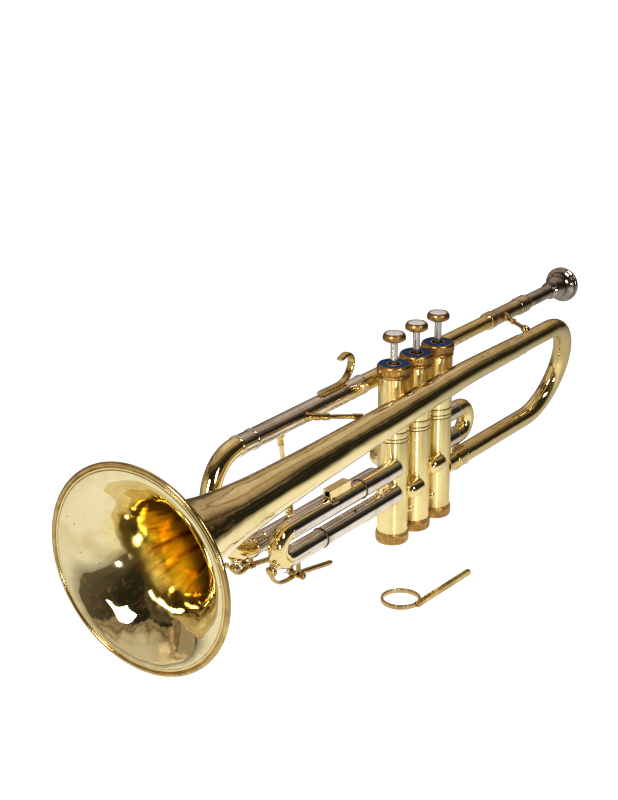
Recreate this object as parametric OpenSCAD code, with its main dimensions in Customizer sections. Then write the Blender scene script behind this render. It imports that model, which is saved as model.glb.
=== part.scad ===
// Three-valve trumpet, upright on its bottom valve caps.
// +Y runs from the bell towards the mouthpiece, +X is the player's left, +Z is up.
// The origin is the middle of the second valve's bottom cap face.

/* [Bell] */
// Outer radius of the bell's rim
bell_r = 61.9; // [60:0.1:63]
// Height of the bell's axis at the mouth
bell_mouth_z = 94.8; // [92:0.1:97]
// Place of the bell's mouth along the instrument
bell_mouth_y = -311.3; // [-316:0.1:-306]
// Sideways place of the bell's axis
bell_x = 21.8; // [21.4:0.1:23]
// Length over which the bell's flare opens
flare_length = 44.6; // [40:0.1:50]
// Steepness of the flare
flare_power = 2.3; // [2.1:0.05:2.5]
// Radius of the bell's cone at the mouth, under the flare
cone_r = 13.8; // [13.2:0.1:14.4]
// Fall of the cone's radius for each millimetre of length
cone_taper = 0.0175; // [0.016:0.0005:0.018]
// Bell wall
bell_wall = 0.6; // [0.6:0.1:0.8]
// Distance behind the rim at which the spun flare meets the stem
flare_cut = 60; // [50:1:70]

/* [Bow] */
// Height of the straight bell tail above the caps
tail_z = 107.6; // [106:0.1:108]
// Place where the bell's tail meets the bow
tail_end_y = 103.5; // [100:0.5:106]
// Centre of the bow's bend
bow_y = 144.5; // [142:0.5:147]
// Radius of the bow's bend
bow_bend_r = 36.8; // [36.4:0.1:37]
// Lean of the bow towards the valves, in degrees
bow_lean = 13.7; // [13:0.1:14]
// Outer radius of the bow's tube
bow_r = 6.8; // [6.6:0.1:6.9]

/* [Valves] */
// Distance between valve axes
valve_pitch = 27.2; // [27:0.1:28]
// Outer radius of a valve casing
casing_r = 10.4; // [10.3:0.1:10.5]
// Radius of a piston
piston_r = 8.45; // [8.4:0.01:8.47]
// Height of the top valve caps' upper face
cap_top_z = 126.7; // [126:0.1:128]
// Outer radius of the caps' milled bands
cap_r = 11.35; // [11.2:0.05:11.5]
// Height of the finger buttons' tops at rest
button_top_z = 147.8; // [147:0.1:149]
// Piston stroke
stroke = 14; // [12:0.5:14]

/* [Tubes] */
// Inner radius of the bore
bore_r = 5.6; // [5.5:0.05:5.7]
// Outer radius of a sliding tube
slide_r = 6.05; // [6:0.01:6.06]
// Clearance between a sliding tube and its outer tube
slide_gap = 0.05; // [0.03:0.01:0.08]
// Outer radius of an outer slide tube
outer_r = 6.5; // [6.4:0.05:6.6]
// Outer radius of a slide's bend
crook_r = 6.3; // [6.2:0.05:6.4]

/* [Leadpipe and mouthpiece] */
// Sideways place of the leadpipe
lead_x = -19; // [-19.5:0.1:-18.8]
// Height of the leadpipe
lead_z = 110.9; // [110:0.1:112]
// Place of the mouthpiece's rim
rim_y = 245.2; // [244:0.1:247]
// Outer radius of the mouthpiece's rim
rim_r = 13.6; // [13.4:0.1:13.8]

/* [Slides] */
// Lean of the main tuning slide towards the valves, in degrees
tuning_lean = 8.4; // [8:0.1:9]
// Radius of the tuning slide's bend
tuning_bend_r = 32.2; // [32:0.1:33]
// Centre of the tuning slide's bend
tuning_y = -171.6; // [-173:0.1:-170]
// Sideways place of the third slide
third_x = 8.5; // [8.2:0.1:9]
// Height of the third slide's upper leg
third_z = 57.8; // [57:0.1:59]
// Radius of the third slide's bend
third_bend_r = 9; // [8.8:0.1:9.2]
// Centre of the third slide's bend
third_y = -159; // [-161:0.5:-157]
// Radius of the first slide's bend
first_bend_r = 9.75; // [9.5:0.05:10]
// Height of the first slide's upper leg
first_z = 70.4; // [70:0.1:71]
// Centre of the first slide's bend
first_y = 55.5; // [54:0.5:57]
// Radius of the second slide's bend
second_bend_r = 8; // [7.8:0.1:8.4]
// Height of the second slide
second_z = 48; // [44:0.5:50]

/* [Hidden] */
$fn = 64;

GOLD = [0.83, 0.68, 0.32];
AGED = [0.60, 0.43, 0.20];
NICKEL = [0.72, 0.70, 0.68];
SILVER = [0.80, 0.80, 0.80];
NAVY = [0.07, 0.18, 0.42];
CORK = [0.62, 0.44, 0.28];
PEARL = [0.92, 0.93, 0.93];

slide_bore_r = slide_r + slide_gap;
sleeve_bore_r = slide_r + 0.02;
bead = 0.5;                        // how far a bead ring stands out of its tube
bead_w = 1.6;
bell_bend_y = 30;                  // where the bell's tail starts to drop towards the mouth
bell_bend_z = tail_z + 0.5;        // height of the axis there
bell_drop = atan((bell_bend_z - bell_mouth_z) / (bell_bend_y - bell_mouth_y));
bell_length = (bell_bend_y - bell_mouth_y) / cos(bell_drop);
tail_fall = atan((bell_bend_z - tail_z) / (tail_end_y - bell_bend_y));
bead_r = 1.3;                      // rolled edge of the bell
wire_r = 0.8;
tail_r = 7.3;
casing_bottom_z = 4;
casing_top_z = 119;
piston_low_z = 25;
piston_high_z = 79;
barrel_top_z = 119.4;
guide_z = 82;
guide_h = 3;
stem_r = 2.45;
button_h = 6;
stem_top_z = button_top_z - 2.6;
valve_bore_r = piston_r + 0.05;
receiver_front_y = 125.6;
receiver_end_y = 183.7;
shank_depth = 25;
nickel_end_y = -37.4;
tuning_ferrule_y = -157;
tuning_low_end_y = -161;
third_ring_upper_y = -79;
third_ring_lower_y = -122.5;
third_front_y = -158.8;
third_end_y = -39.3;
third_low_z = third_z - 2 * third_bend_r;
first_low_z = first_z - 2 * first_bend_r;
first_split_y = 50.5;
second_split_x = -18.5;
second_y = second_bend_r;
bow_low_x = bell_x - 2 * bow_bend_r * sin(bow_lean);
bow_low_z = tail_z - 2 * bow_bend_r * cos(bow_lean);
tuning_low_x = lead_x + 2 * tuning_bend_r * sin(tuning_lean);
tuning_low_z = lead_z - 2 * tuning_bend_r * cos(tuning_lean);
bow_ferrule_y = 55.4;

function valve_y(i) = (2 - i) * valve_pitch;
function flare(s) = (bell_r - bead_r - cone_r) * pow(flare_length / (s + flare_length), flare_power);
function bell_outer(s) = flare(s) + cone_r - cone_taper * s;
function bell_slope(s) = flare_power * flare(s) / (s + flare_length) + cone_taper;
function bell_inner(s) = bell_outer(s) - bell_wall * sqrt(1 + pow(bell_slope(s), 2));

// ---------------------------------------------------------------- shared shapes

module tube_y(y0, y1, ro, ri) {
    translate([0, y0, 0]) rotate([-90, 0, 0]) difference() {
        cylinder(h = y1 - y0, r = ro);
        translate([0, 0, -1]) cylinder(h = y1 - y0 + 2, r = ri);
    }
}

module rod_y(y0, y1, r) {
    translate([0, y0, 0]) rotate([-90, 0, 0]) cylinder(h = y1 - y0, r = r);
}

// Half turn of tube in the YZ plane, from z = 0 down to z = -2 * bend_r
module half_turn(bend_r, ro, ri, way) {
    translate([0, 0, -bend_r]) rotate([0, 90, 0]) rotate_extrude(angle = way * 180)
        translate([bend_r, 0]) difference() {
            circle(r = ro);
            circle(r = ri);
        }
}

module bead_y(y0, r) {
    tube_y(y0, y0 + bead_w, r + bead, r);
}

module all_casings() {
    for (i = [1:3]) translate([0, valve_y(i), casing_bottom_z])
        cylinder(h = casing_top_z - casing_bottom_z, r = casing_r);
}

module in_bow() {
    translate([bell_x, 0, tail_z]) rotate([0, bow_lean, 0]) children();
}

module in_tuning() {
    translate([lead_x, 0, lead_z]) rotate([0, -tuning_lean, 0]) children();
}

module in_bell() {
    translate([bell_x, bell_bend_y, bell_bend_z]) rotate([bell_drop, 0, 0]) rotate([90, 0, 0]) children();
}

// ---------------------------------------------------------------- valves

module port_cuts() {
    translate([third_x, 0, third_z]) rod_y(-60, valve_y(3), bore_r);
    translate([third_x, 0, third_low_z]) rod_y(-60, valve_y(3), bore_r);
    translate([tuning_low_x, 0, tuning_low_z]) rod_y(-60, valve_y(3), bore_r);
    translate([bow_low_x, 0, bow_low_z]) rod_y(valve_y(1), 60, bore_r);
    translate([1, 0, first_z]) rod_y(valve_y(1), 50, bore_r);
    translate([1, 0, first_low_z]) rod_y(valve_y(1), 50, bore_r);
    for (s = [-1, 1]) translate([0, s * second_y, second_z])
        rotate([0, -90, 0]) cylinder(h = 30, r = bore_r);
    for (k = [0, 1]) translate([third_x, 0, knuckle_z(k)])
        rod_y(valve_y(3 - k) + 6, valve_y(2 - k) - 6, knuckle_bore_r);
}

knuckle_bore_r = 4.9;
knuckle_r = 6;
function knuckle_z(k) = 35.5 + 8.5 * k;

module casing(i) color(GOLD) {
    groove = 0.35;
    groove_zs = [73.6, 76, 80.4];
    difference() {
        translate([0, valve_y(i), casing_bottom_z])
            cylinder(h = casing_top_z - casing_bottom_z, r = casing_r);
        translate([0, valve_y(i), 0]) cylinder(h = casing_top_z + 10, r = valve_bore_r);
        for (z = groove_zs) translate([0, valve_y(i), z]) difference() {
            cylinder(h = 0.5, r = casing_r + 1);
            translate([0, 0, -1]) cylinder(h = 3, r = casing_r - groove);
        }
        port_cuts();
    }
}

module top_caps() color(AGED) for (i = [1:3]) translate([0, valve_y(i), 0]) rotate_extrude() {
    top = cap_top_z;
    hole = 4.1;
    lip = 5;
    felt_floor = top - 1.6;
    polygon([
        [casing_r + 0.03, 117.9], [10.95, 117.9], [10.95, 120.8], [cap_r, 121.1], [cap_r, 125.1],
        [10.9, 126.2], [10.3, top], [10, top], [10, felt_floor], [lip, felt_floor], [lip, top],
        [hole, top], [hole, 123], [valve_bore_r, 123], [valve_bore_r, 119.05],
        [casing_r + 0.03, 119.05]
    ]);
}

// Pad that the button lands on, and the one that stops the piston under the cap
module cap_pads() color(NAVY) for (i = [1:3]) translate([0, valve_y(i), 0]) {
    translate([0, 0, cap_top_z - 1.6]) difference() {
        cylinder(h = 1.8, r = 9.98);
        translate([0, 0, -1]) cylinder(h = 5, r = 5.02);
    }
    translate([0, 0, barrel_top_z + 1.6]) difference() {
        cylinder(h = 123 - barrel_top_z - 1.6, r = 8.2);
        translate([0, 0, -1]) cylinder(h = 5, r = 2.8);
    }
}

module bottom_caps() color(AGED) for (i = [1:3]) translate([0, valve_y(i), 0]) rotate_extrude() {
    polygon([
        [0, 0], [9.6, 0], [10.7, 0.5], [11.2, 1.4], [cap_r, 2.4], [cap_r, 6.8], [11, 7.4],
        [11, 8.2], [casing_r + 0.03, 8.2], [casing_r + 0.03, 3.98], [9.4, 3.98], [9.4, 2], [0, 2]
    ]);
}

// Star washer that keys the piston and carries the spring
module valve_guides() color(SILVER) for (i = [1:3]) translate([0, valve_y(i), guide_z]) {
    difference() {
        union() {
            cylinder(h = guide_h, r = 6.3);
            translate([-8.45, -1.4, 0]) cube([16.9, 2.8, guide_h]);
        }
        translate([0, 0, -1]) cylinder(h = 6, r = stem_r + 0.6);
    }
}

module piston(i) color(SILVER) translate([0, valve_y(i), 0]) {
    body_h = piston_high_z - piston_low_z;
    slot_low = guide_z - stroke - 1;
    difference() {
        union() {
            translate([0, 0, piston_low_z]) difference() {
                cylinder(h = body_h, r = piston_r);
                translate([0, 0, 1.2]) cylinder(h = body_h - 2.4, r = piston_r - 1);
            }
            for (p = [0:2]) translate([0, 0, piston_low_z + 10 + 15 * p]) rotate([90, 0, 60 * p])
                intersection() {
                    translate([0, 0, -20]) cylinder(h = 40, r = bore_r + 0.6);
                    rotate([90, 0, 0]) translate([0, 0, -40]) cylinder(h = 80, r = piston_r);
                }
            translate([0, 0, piston_high_z]) difference() {
                cylinder(h = barrel_top_z - piston_high_z, r = 7.9);
                translate([0, 0, -1]) cylinder(h = barrel_top_z - piston_high_z - 1, r = 6.6);
            }
        }
        for (p = [0:2]) translate([0, 0, piston_low_z + 10 + 15 * p]) rotate([90, 0, 60 * p])
            translate([0, 0, -20]) cylinder(h = 40, r = bore_r);
        translate([-10, -1.6, piston_high_z + 0.5]) cube([20, 3.2, guide_z + guide_h + stroke + 1 - piston_high_z]);
        translate([0, 0, piston_high_z]) cylinder(h = 60, r = stem_r + 0.02);
    }
}

module stem(i) color(SILVER) translate([0, valve_y(i), 0]) {
    translate([0, 0, barrel_top_z - 2]) cylinder(h = stem_top_z - barrel_top_z + 2, r = stem_r);
    translate([0, 0, barrel_top_z]) cylinder(h = 1.5, r = 3.9);
}

module button(i) color(AGED) translate([0, valve_y(i), button_top_z - button_h]) difference() {
    rotate_extrude() polygon([
        [0, 0], [5, 0], [6.4, 0.5], [7.3, 1.4], [7.7, 2.6], [7.75, 3.8], [7.5, 5], [6.9, 5.8],
        [6.2, 6.1], [5.95, 6.1], [5.95, 4.6], [0, 4.6]
    ]);
    translate([0, 0, -1]) cylinder(h = button_h - 1.6, r = stem_r + 0.02);
}

module pearl(i) color(PEARL) translate([0, valve_y(i), button_top_z - button_h + 4.62])
    rotate_extrude() polygon([[0, 0], [5.75, 0], [5.75, 1.2], [5.2, 1.6], [3, 1.9], [0, 2]]);

// Coil spring in the piston's barrel, drawn as its winding
spring_turns = 7;
spring_steps = 12;
spring_wire = 0.45;
spring_r = 5.2;
spring_low = guide_z + guide_h + spring_wire;
spring_rise = barrel_top_z - 2.5 - spring_low - spring_wire;
function coil(k, a) = [
    (spring_r + spring_wire * cos(a)) * cos(360 * k / spring_steps),
    (spring_r + spring_wire * cos(a)) * sin(360 * k / spring_steps),
    spring_low + spring_rise * k / (spring_turns * spring_steps) + spring_wire * sin(a)
];

module piston_spring(i) color(SILVER) {
    n = spring_turns * spring_steps;
    sides = 6;
    pts = [for (k = [0:n]) for (j = [0:sides - 1]) coil(k, -360 * j / sides)];
    faces = concat(
        [[for (j = [0:sides - 1]) j]],
        [for (k = [0:n - 1]) for (j = [0:sides - 1])
            [k * sides + j, (k + 1) * sides + j, (k + 1) * sides + (j + 1) % sides,
             k * sides + (j + 1) % sides]],
        [[for (j = [sides - 1:-1:0]) n * sides + j]]
    );
    translate([0, valve_y(i), 0]) polyhedron(points = pts, faces = faces);
}

module knuckles() color(GOLD) for (k = [0, 1]) difference() {
    mid = (valve_y(3 - k) + valve_y(2 - k)) / 2;
    half = 3.4;
    translate([third_x, 0, knuckle_z(k)]) difference() {
        union() {
            rod_y(mid - half, mid + half, knuckle_r);
            for (s = [-1, 1]) translate([0, mid + s * half, 0]) sphere(r = knuckle_r);
        }
        rod_y(mid - half, mid + half, knuckle_bore_r);
    }
    all_casings();
}

// Short studs soldered between neighbouring casings
module casing_spacers() color(GOLD) difference() {
    for (k = [0, 1]) for (z = [18, 101]) translate([3, 0, z])
        rod_y(valve_y(3 - k), valve_y(2 - k), 2.2);
    all_casings();
}

// ---------------------------------------------------------------- bell and bow

// Stations along the bell crowd towards the mouth, where the flare turns fastest
bell_steps = 30;
function flare_station(k) = flare_cut * pow(k / bell_steps, 1.5);
// The sheet lies flatter towards the rim than its curve alone would
function flat(s) = s * (1 - 0.42 * exp(-pow(s / 4.5, 2)));
function stem_station(k) = flare_cut + (bell_length - bead_r - flare_cut) * pow(k / bell_steps, 1.5);

// Spun flare of the bell with its rolled rim, brazed to the stem behind it
module bell_flare() color(GOLD) in_bell() difference() {
    union() {
        translate([0, 0, bell_length - bead_r]) mirror([0, 0, 1]) rotate_extrude($fn = 128)
            polygon(concat(
                [for (k = [0:bell_steps]) [bell_outer(flare_station(k)), flat(flare_station(k))]],
                [for (k = [bell_steps:-1:0]) [bell_inner(flare_station(k)), flat(flare_station(k))]]
            ));
        translate([0, 0, bell_length - bead_r]) rotate_extrude($fn = 128)
            translate([bell_r - bead_r, 0]) circle(r = bead_r, $fn = 32);
    }
    translate([0, 0, bell_length - bead_r]) rotate_extrude($fn = 128)
        translate([bell_r - bead_r, 0]) circle(r = wire_r, $fn = 32);
}

// Tapered stem of the bell, with the straight tail beside the valves slipped 1 mm over its end
module bell_stem() color(GOLD) {
    in_bell() translate([0, 0, bell_length - bead_r]) mirror([0, 0, 1]) rotate_extrude($fn = 128)
        polygon(concat(
            [for (k = [0:bell_steps]) [bell_outer(stem_station(k)), stem_station(k)]],
            [for (k = [bell_steps:-1:0]) [bell_inner(stem_station(k)), stem_station(k)]]
        ));
    r0 = bell_outer(bell_length - bead_r) + 0.1;
    h = norm([tail_end_y - bell_bend_y + 1, bell_bend_z - tail_z]);
    translate([bell_x, bell_bend_y - 1, bell_bend_z]) rotate([-90 - tail_fall, 0, 0]) difference() {
        cylinder(h = h, r1 = r0, r2 = tail_r);
        cylinder(h = h, r1 = r0 - bell_wall, r2 = tail_r - bell_wall);
    }
}

module bell_rim_wire() color(GOLD) in_bell() translate([0, 0, bell_length - bead_r])
    rotate_extrude($fn = 128) translate([bell_r - bead_r, 0]) circle(r = wire_r, $fn = 32);

module bell_bow() color(GOLD) difference() {
    in_bow() {
        tube_y(tail_end_y, bow_y, bow_r, bow_r - 0.7);
        translate([0, bow_y, 0]) half_turn(bow_bend_r, bow_r, bow_r - 0.7, 1);
        translate([0, 0, -2 * bow_bend_r]) tube_y(valve_y(1), bow_y, bow_r, bow_r - 0.7);
    }
    all_casings();
}

module bow_ferrules() color(GOLD) in_bow() {
    translate([0, 0, -2 * bow_bend_r]) {
        tube_y(44, bow_ferrule_y, bow_r + 0.6, bow_r + 0.01);
        tube_y(42.4, 44, bow_r + 1, bow_r + 0.01);
    }
}

// ---------------------------------------------------------------- leadpipe and mouthpiece

module leadpipe() color(GOLD) translate([lead_x, 0, lead_z]) rotate([-90, 0, 0]) {
    front = tuning_ferrule_y + 84;
    r_front = slide_bore_r - 0.05;
    difference() {
        union() {
            translate([0, 0, front]) cylinder(h = nickel_end_y - front, r = r_front);
            translate([0, 0, nickel_end_y]) cylinder(h = receiver_front_y + 12 - nickel_end_y,
                                                     r1 = r_front, r2 = 5.2);
        }
        translate([0, 0, front - 1]) cylinder(h = receiver_front_y + 14 - front, r1 = 5.5, r2 = 4.4);
    }
}

module mouthpiece_receiver() color(NICKEL) translate([lead_x, 0, lead_z]) rotate([-90, 0, 0])
    rotate_extrude() {
        y0 = receiver_front_y;
        y1 = receiver_end_y;
        seat = y1 - shank_depth;
        polygon([
            [5.3, y0], [6.2, y0], [6.5, y0 + 1], [6.5, y0 + 7.5], [6.2, y0 + 8.5], [5.9, y0 + 8.6],
            [5.9, y1 - 13.8], [6.4, y1 - 13.7], [6.7, y1 - 12.5], [6.7, y1 - 1.2], [6.3, y1],
            [5.33, y1], [4.85, seat - 0.5], [5.15, y0 + 12.2], [5.3, y0 + 12.1]
        ]);
    }

module mouthpiece() color(SILVER) translate([lead_x, rim_y, lead_z]) rotate([90, 0, 0])
    rotate_extrude() {
        shank_end = rim_y - receiver_end_y + shank_depth;
        polygon(concat(
            // outside, from the rim's crest to the shank's end
            [[10.2, 0], [12.2, 0.3], [13.2, 1.2], [rim_r, 2.6], [13.4, 4], [12.6, 4.6], [12.4, 5.4],
             [12.1, 6.4], [11, 7], [10, 7.8], [9.1, 8.8], [8.3, 9.9], [8, 10.7], [8.1, 11.4], [8.4, 12.6],
             [8.4, 13.8], [8.1, 15.4], [7.4, 17.2], [6.4, 19], [5.7, 20.2], [5.7, 20.8], [6.4, 21.6],
             [6.8, 22.4], [6.5, 23.2], [5.9, 23.8], [6.5, 24.6], [6.3, 25.4], [5.5, 26.1], [5.25, 27.5]],
            [[5.28, rim_y - receiver_end_y], [4.8, shank_end]],
            // backbore, throat, cup
            [[4.2, shank_end], [3.2, 48], [2.2, 24], [1.9, 20.5], [1.9, 16]],
            [for (a = [10:16:90]) [8.5 * sin(a) + 0.2, 3 + 11.5 * cos(a)]],
            [[9.1, 1.3]]
        ));
    }

// ---------------------------------------------------------------- hook and braces

// Outline of a strip of the given thickness along a list of points
function unit(v) = v / norm(v);
function side(p, k) = let (
    a = p[max(k - 1, 0)],
    b = p[min(k + 1, len(p) - 1)],
    d = unit(b - a)) [-d[1], d[0]];
function strip(p, t) = concat(
    [for (k = [0:len(p) - 1]) p[k] + side(p, k) * t / 2],
    [for (k = [len(p) - 1:-1:0]) p[k] - side(p, k) * t / 2]
);
function arc_pts(c, r, a0, a1, n) = [for (k = [0:n]) c + r * [cos(a0 + (a1 - a0) * k / n),
                                                              sin(a0 + (a1 - a0) * k / n)]];

hook_w = 5.6;
hook_t = 2.6;

module finger_hook() color(GOLD) translate([lead_x, 0, lead_z]) {
    line = concat(
        [[-84, 7.6], [-63, 7.6]],
        arc_pts([-63, 22.4], 14.8, -82, -20, 5),
        arc_pts([-55.3, 19.6], 6.6, -5, 118, 8),
        [[-62.4, 24.3]]
    );
    difference() {
        union() {
            translate([-hook_w / 2, 0, 0]) rotate([90, 0, 90]) linear_extrude(height = hook_w)
                polygon(strip(line, hook_t));
            translate([-hook_w / 2, -84, 4]) cube([hook_w, 22, 3]);
        }
        rod_y(-150, 0, outer_r + 0.02);
    }
}

module flange_rod(p, q, r) {
    d = q - p;
    len = norm(d);
    translate(p) rotate([0, acos(d[2] / len), atan2(d[1], d[0])]) cylinder(h = len, r = r);
}

front_brace_a = [lead_x, -110.5, 110.9];
front_brace_b = [15.6, -85.5, 111.1];

module front_brace() color(GOLD) difference() {
    a = front_brace_a;
    b = front_brace_b;
    union() {
        flange_rod(a, b, 1.6);
        flange_rod(a, a + (b - a) * 0.5, 2.4);
        flange_rod(a, a + (b - a) * 0.24, 3.4);
        flange_rod(a + (b - a) * 0.84, b, 2);
    }
    translate([lead_x, 0, lead_z]) rod_y(-150, 0, outer_r + 0.02);
    in_bell() translate([0, 0, bell_length - bead_r]) mirror([0, 0, 1]) rotate_extrude()
        polygon([[0, 150], [bell_outer(150) + 0.02, 150], [bell_outer(190) + 0.02, 190],
                 [bell_outer(240) + 0.02, 240], [bell_outer(290) + 0.02, 290], [0, 290]]);
}

rear_brace_a = [lead_x, 149, 110.7];
rear_brace_b = [18.6, 119, 113.4];

module rear_brace() color(GOLD) difference() {
    a = rear_brace_a;
    b = rear_brace_b;
    union() {
        flange_rod(a, b, 1.6);
        flange_rod(a, a + (b - a) * 0.22, 3.6);
        flange_rod(a + (b - a) * 0.84, b, 3);
    }
    translate([lead_x, 0, lead_z]) rod_y(100, 170, 5.92);
    in_bow() rod_y(90, 140, bow_r + 0.02);
}

// Pillars between slide legs, and between the bow and the first slide
// Both braces between the leadpipe and the bell
module bell_braces() {
    front_brace();
    rear_brace();
}

module slide_braces() color(GOLD) {
    difference() {
        in_tuning() translate([0, -129, 0]) {
            drop = 2 * tuning_bend_r;
            translate([0, 0, -drop]) cylinder(h = drop, r = 1.7);
            translate([0, 0, -drop + 5]) cylinder(h = 4, r = 3.2);
            translate([0, 0, -9]) cylinder(h = 4, r = 3.2);
        }
        in_tuning() {
            rod_y(-150, -100, outer_r + 0.02);
            translate([0, 0, -2 * tuning_bend_r]) rod_y(-150, -100, outer_r + 0.02);
        }
    }
    difference() {
        translate([third_x, -56, third_low_z]) {
            cylinder(h = 2 * third_bend_r, r = 2.2);
            translate([0, 0, 5]) cylinder(h = 2 * third_bend_r - 10, r = 3.4);
        }
        for (z = [third_z, third_low_z]) translate([third_x, 0, z]) rod_y(-80, -40, outer_r + 0.02);
    }
    difference() {
        flange_rod([1, 43.5, first_low_z], [bow_low_x, 43.5, bow_low_z], 2.2);
        translate([1, 0, first_low_z]) rod_y(30, 60, outer_r - 0.28);
        in_bow() translate([0, 0, -2 * bow_bend_r]) {
            rod_y(40, 70, bow_r + 0.62);
            rod_y(40, 44.02, bow_r + 1.02);
        }
    }
}

// ---------------------------------------------------------------- main tuning slide

module tuning_outer_upper() color(NICKEL) in_tuning() {
    tube_y(tuning_ferrule_y, nickel_end_y, outer_r, slide_bore_r);
    bead_y(tuning_ferrule_y, outer_r);
    bead_y(nickel_end_y - bead_w, outer_r);
}

module tuning_outer_lower() color(NICKEL) difference() {
    translate([tuning_low_x, 0, tuning_low_z]) {
        difference() {
            union() {
                rod_y(tuning_low_end_y, -37.5, outer_r);
                translate([0, -37.5, 0]) sphere(r = outer_r);
            }
            rod_y(tuning_low_end_y - 1, -37.5, slide_bore_r);
        }
        bead_y(tuning_low_end_y, outer_r);
    }
    all_casings();
}

module key_seat(y, z, angle, base) {
    // short nipple of the water hole, pointing down and forward
    translate([0, y, z]) rotate([angle, 0, 0]) translate([0, 0, -base - nipple_h]) difference() {
        cylinder(h = nipple_h + 3, r = nipple_r);
        translate([0, 0, -1]) cylinder(h = nipple_h + 6, r = 1.5);
    }
}

nipple_r = 3;
nipple_h = 2.6;
tuning_key_angle = -24;
third_key_angle = -53;

// Two ears that hold a water key's pivot
module saddle(y, z) {
    for (s = [-1, 1]) translate([s * key_gap - 0.6, y - 2.4, z - 1.8]) cube([1.2, 4.8, -z]);
}

module tuning_crook() color(GOLD) in_tuning() {
    difference() {
        union() {
            translate([0, tuning_y, 0]) half_turn(tuning_bend_r, crook_r, bore_r, -1);
            difference() {
                key_seat(tuning_y, -tuning_bend_r, tuning_key_angle, tuning_bend_r + crook_r);
                translate([0, tuning_y, -tuning_bend_r]) rotate([0, 90, 0]) rotate_extrude()
                    translate([tuning_bend_r, 0]) circle(r = crook_r - 0.3);
            }
            difference() {
                translate([0, 0, -2 * tuning_bend_r]) saddle(key_pivot_y, key_pivot_z);
                translate([0, tuning_y, -tuning_bend_r]) rotate([0, 90, 0]) rotate_extrude()
                    translate([tuning_bend_r, 0]) circle(r = crook_r - 0.3);
            }
        }
        translate([0, tuning_y, -tuning_bend_r]) rotate([tuning_key_angle, 0, 0])
            translate([0, 0, -tuning_bend_r - 14]) cylinder(h = 14, r = 1.5);
        translate([-10, key_pivot_y, -2 * tuning_bend_r + key_pivot_z]) rotate([0, 90, 0])
            cylinder(h = 20, r = pin_r);
    }
}

module tuning_ferrules() color(NICKEL) in_tuning() {
    tube_y(tuning_y, tuning_ferrule_y - 0.1, outer_r, sleeve_bore_r);
    bead_y(tuning_y, outer_r);
    translate([0, 0, -2 * tuning_bend_r]) {
        tube_y(tuning_y, tuning_low_end_y - 0.1, outer_r, sleeve_bore_r);
        bead_y(tuning_y, outer_r);
    }
}

module tuning_inner_tubes() color(NICKEL) in_tuning() for (z = [0, -2 * tuning_bend_r])
    translate([0, 0, z]) tube_y(tuning_y, tuning_ferrule_y + 82, slide_r, bore_r);

// ---------------------------------------------------------------- water keys

key_gap = 2.9;
pin_r = 0.9;
key_pivot_y = -176.5;
key_pivot_z = -9.8;
third_pivot_z = -13.6;
key_t = 1.6;
key_w = 3.6;
cork_h = 2;
cup_r = 3.8;
cup_h = 3.2;

// A water key's lever, with its pivot at the origin and the rest in the YZ plane. The cup sits at
// [cup_y, cup_z], turned to face the nipple, and the finger end is at [end_y, end_z].
module key_lever(cup_y, cup_z, cup_angle, end_y, end_z) {
    n = 8;
    front = [for (k = [0:n]) let (f = k / n, u = 1 - f)
        [u * u * cup_y + 2 * u * f * cup_y * 0.8, u * u * (cup_z - 1.6) - 2 * u * f * 3.4 - f * f]];
    difference() {
        union() {
            translate([-key_w / 2, 0, 0]) rotate([90, 0, 90]) linear_extrude(height = key_w)
                polygon(strip(front, key_t));
            rotate([0, 90, 0]) translate([0, 0, -key_gap + 0.65])
                cylinder(h = 2 * key_gap - 1.3, r = 2.1);
            flange_rod([0, 0.6, -0.6], [0, end_y, end_z], 1.7);
            translate([0, end_y, end_z]) sphere(r = 2);
            translate([0, cup_y, cup_z]) rotate([cup_angle, 0, 0]) translate([0, 0, -cup_h / 2])
                cylinder(h = cup_h, r = cup_r);
        }
        translate([-10, 0, 0]) rotate([0, 90, 0]) cylinder(h = 20, r = pin_r + 0.05);
        translate([0, cup_y, cup_z]) rotate([cup_angle, 0, 0]) translate([0, 0, cup_h / 2 - 1.3])
            cylinder(h = 4, r = 3.05);
    }
}

module key_cork(cup_y, cup_z, cup_angle) {
    translate([0, cup_y, cup_z]) rotate([cup_angle, 0, 0]) translate([0, 0, cup_h / 2 - 1.28])
        cylinder(h = cork_h, r = 3);
}

module key_screw(ball_r) {
    head_x = key_gap + 0.65 + ball_r;
    translate([-key_gap - 2.2, 0, 0]) rotate([0, 90, 0]) cylinder(h = key_gap + 2.2 + head_x, r = pin_r);
    translate([head_x, 0, 0]) sphere(r = ball_r);
}

// Two windings beside the saddle
module key_spring() {
    for (k = [0, 1]) translate([-key_gap - 1.3 - 0.65 * k, 0, 0]) rotate([0, 90, 0]) difference() {
        cylinder(h = 0.6, r = 2);
        translate([0, 0, -1]) cylinder(h = 3, r = 1.3);
    }
}

key_reach = nipple_h + cork_h - 1.28 + cup_h / 2 + 0.05;  // from the crook's skin to the cup's middle
tuning_cup_d = tuning_bend_r + crook_r + key_reach;
tuning_cup_y = tuning_y - tuning_cup_d * sin(-tuning_key_angle) - key_pivot_y;
tuning_cup_z = tuning_bend_r - tuning_cup_d * cos(tuning_key_angle) - key_pivot_z;

module at_tuning_key() {
    in_tuning() translate([0, key_pivot_y, -2 * tuning_bend_r + key_pivot_z]) children();
}

module tuning_key_lever() color(GOLD) at_tuning_key() {
    key_lever(tuning_cup_y, tuning_cup_z, tuning_key_angle, 36.5, -7);
    flange_rod([0, tuning_cup_y - 2.5, tuning_cup_z + 0.4], [0, -19.5, 7.4], 0.9);
    translate([0, -19.5, 7.4]) sphere(r = 1.7);
}
module tuning_key_cork() color(CORK) at_tuning_key()
    key_cork(tuning_cup_y, tuning_cup_z, tuning_key_angle);
module tuning_key_spring() color(GOLD) at_tuning_key() key_spring();
module tuning_key_screw() color(AGED) at_tuning_key() key_screw(1.3);

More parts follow.
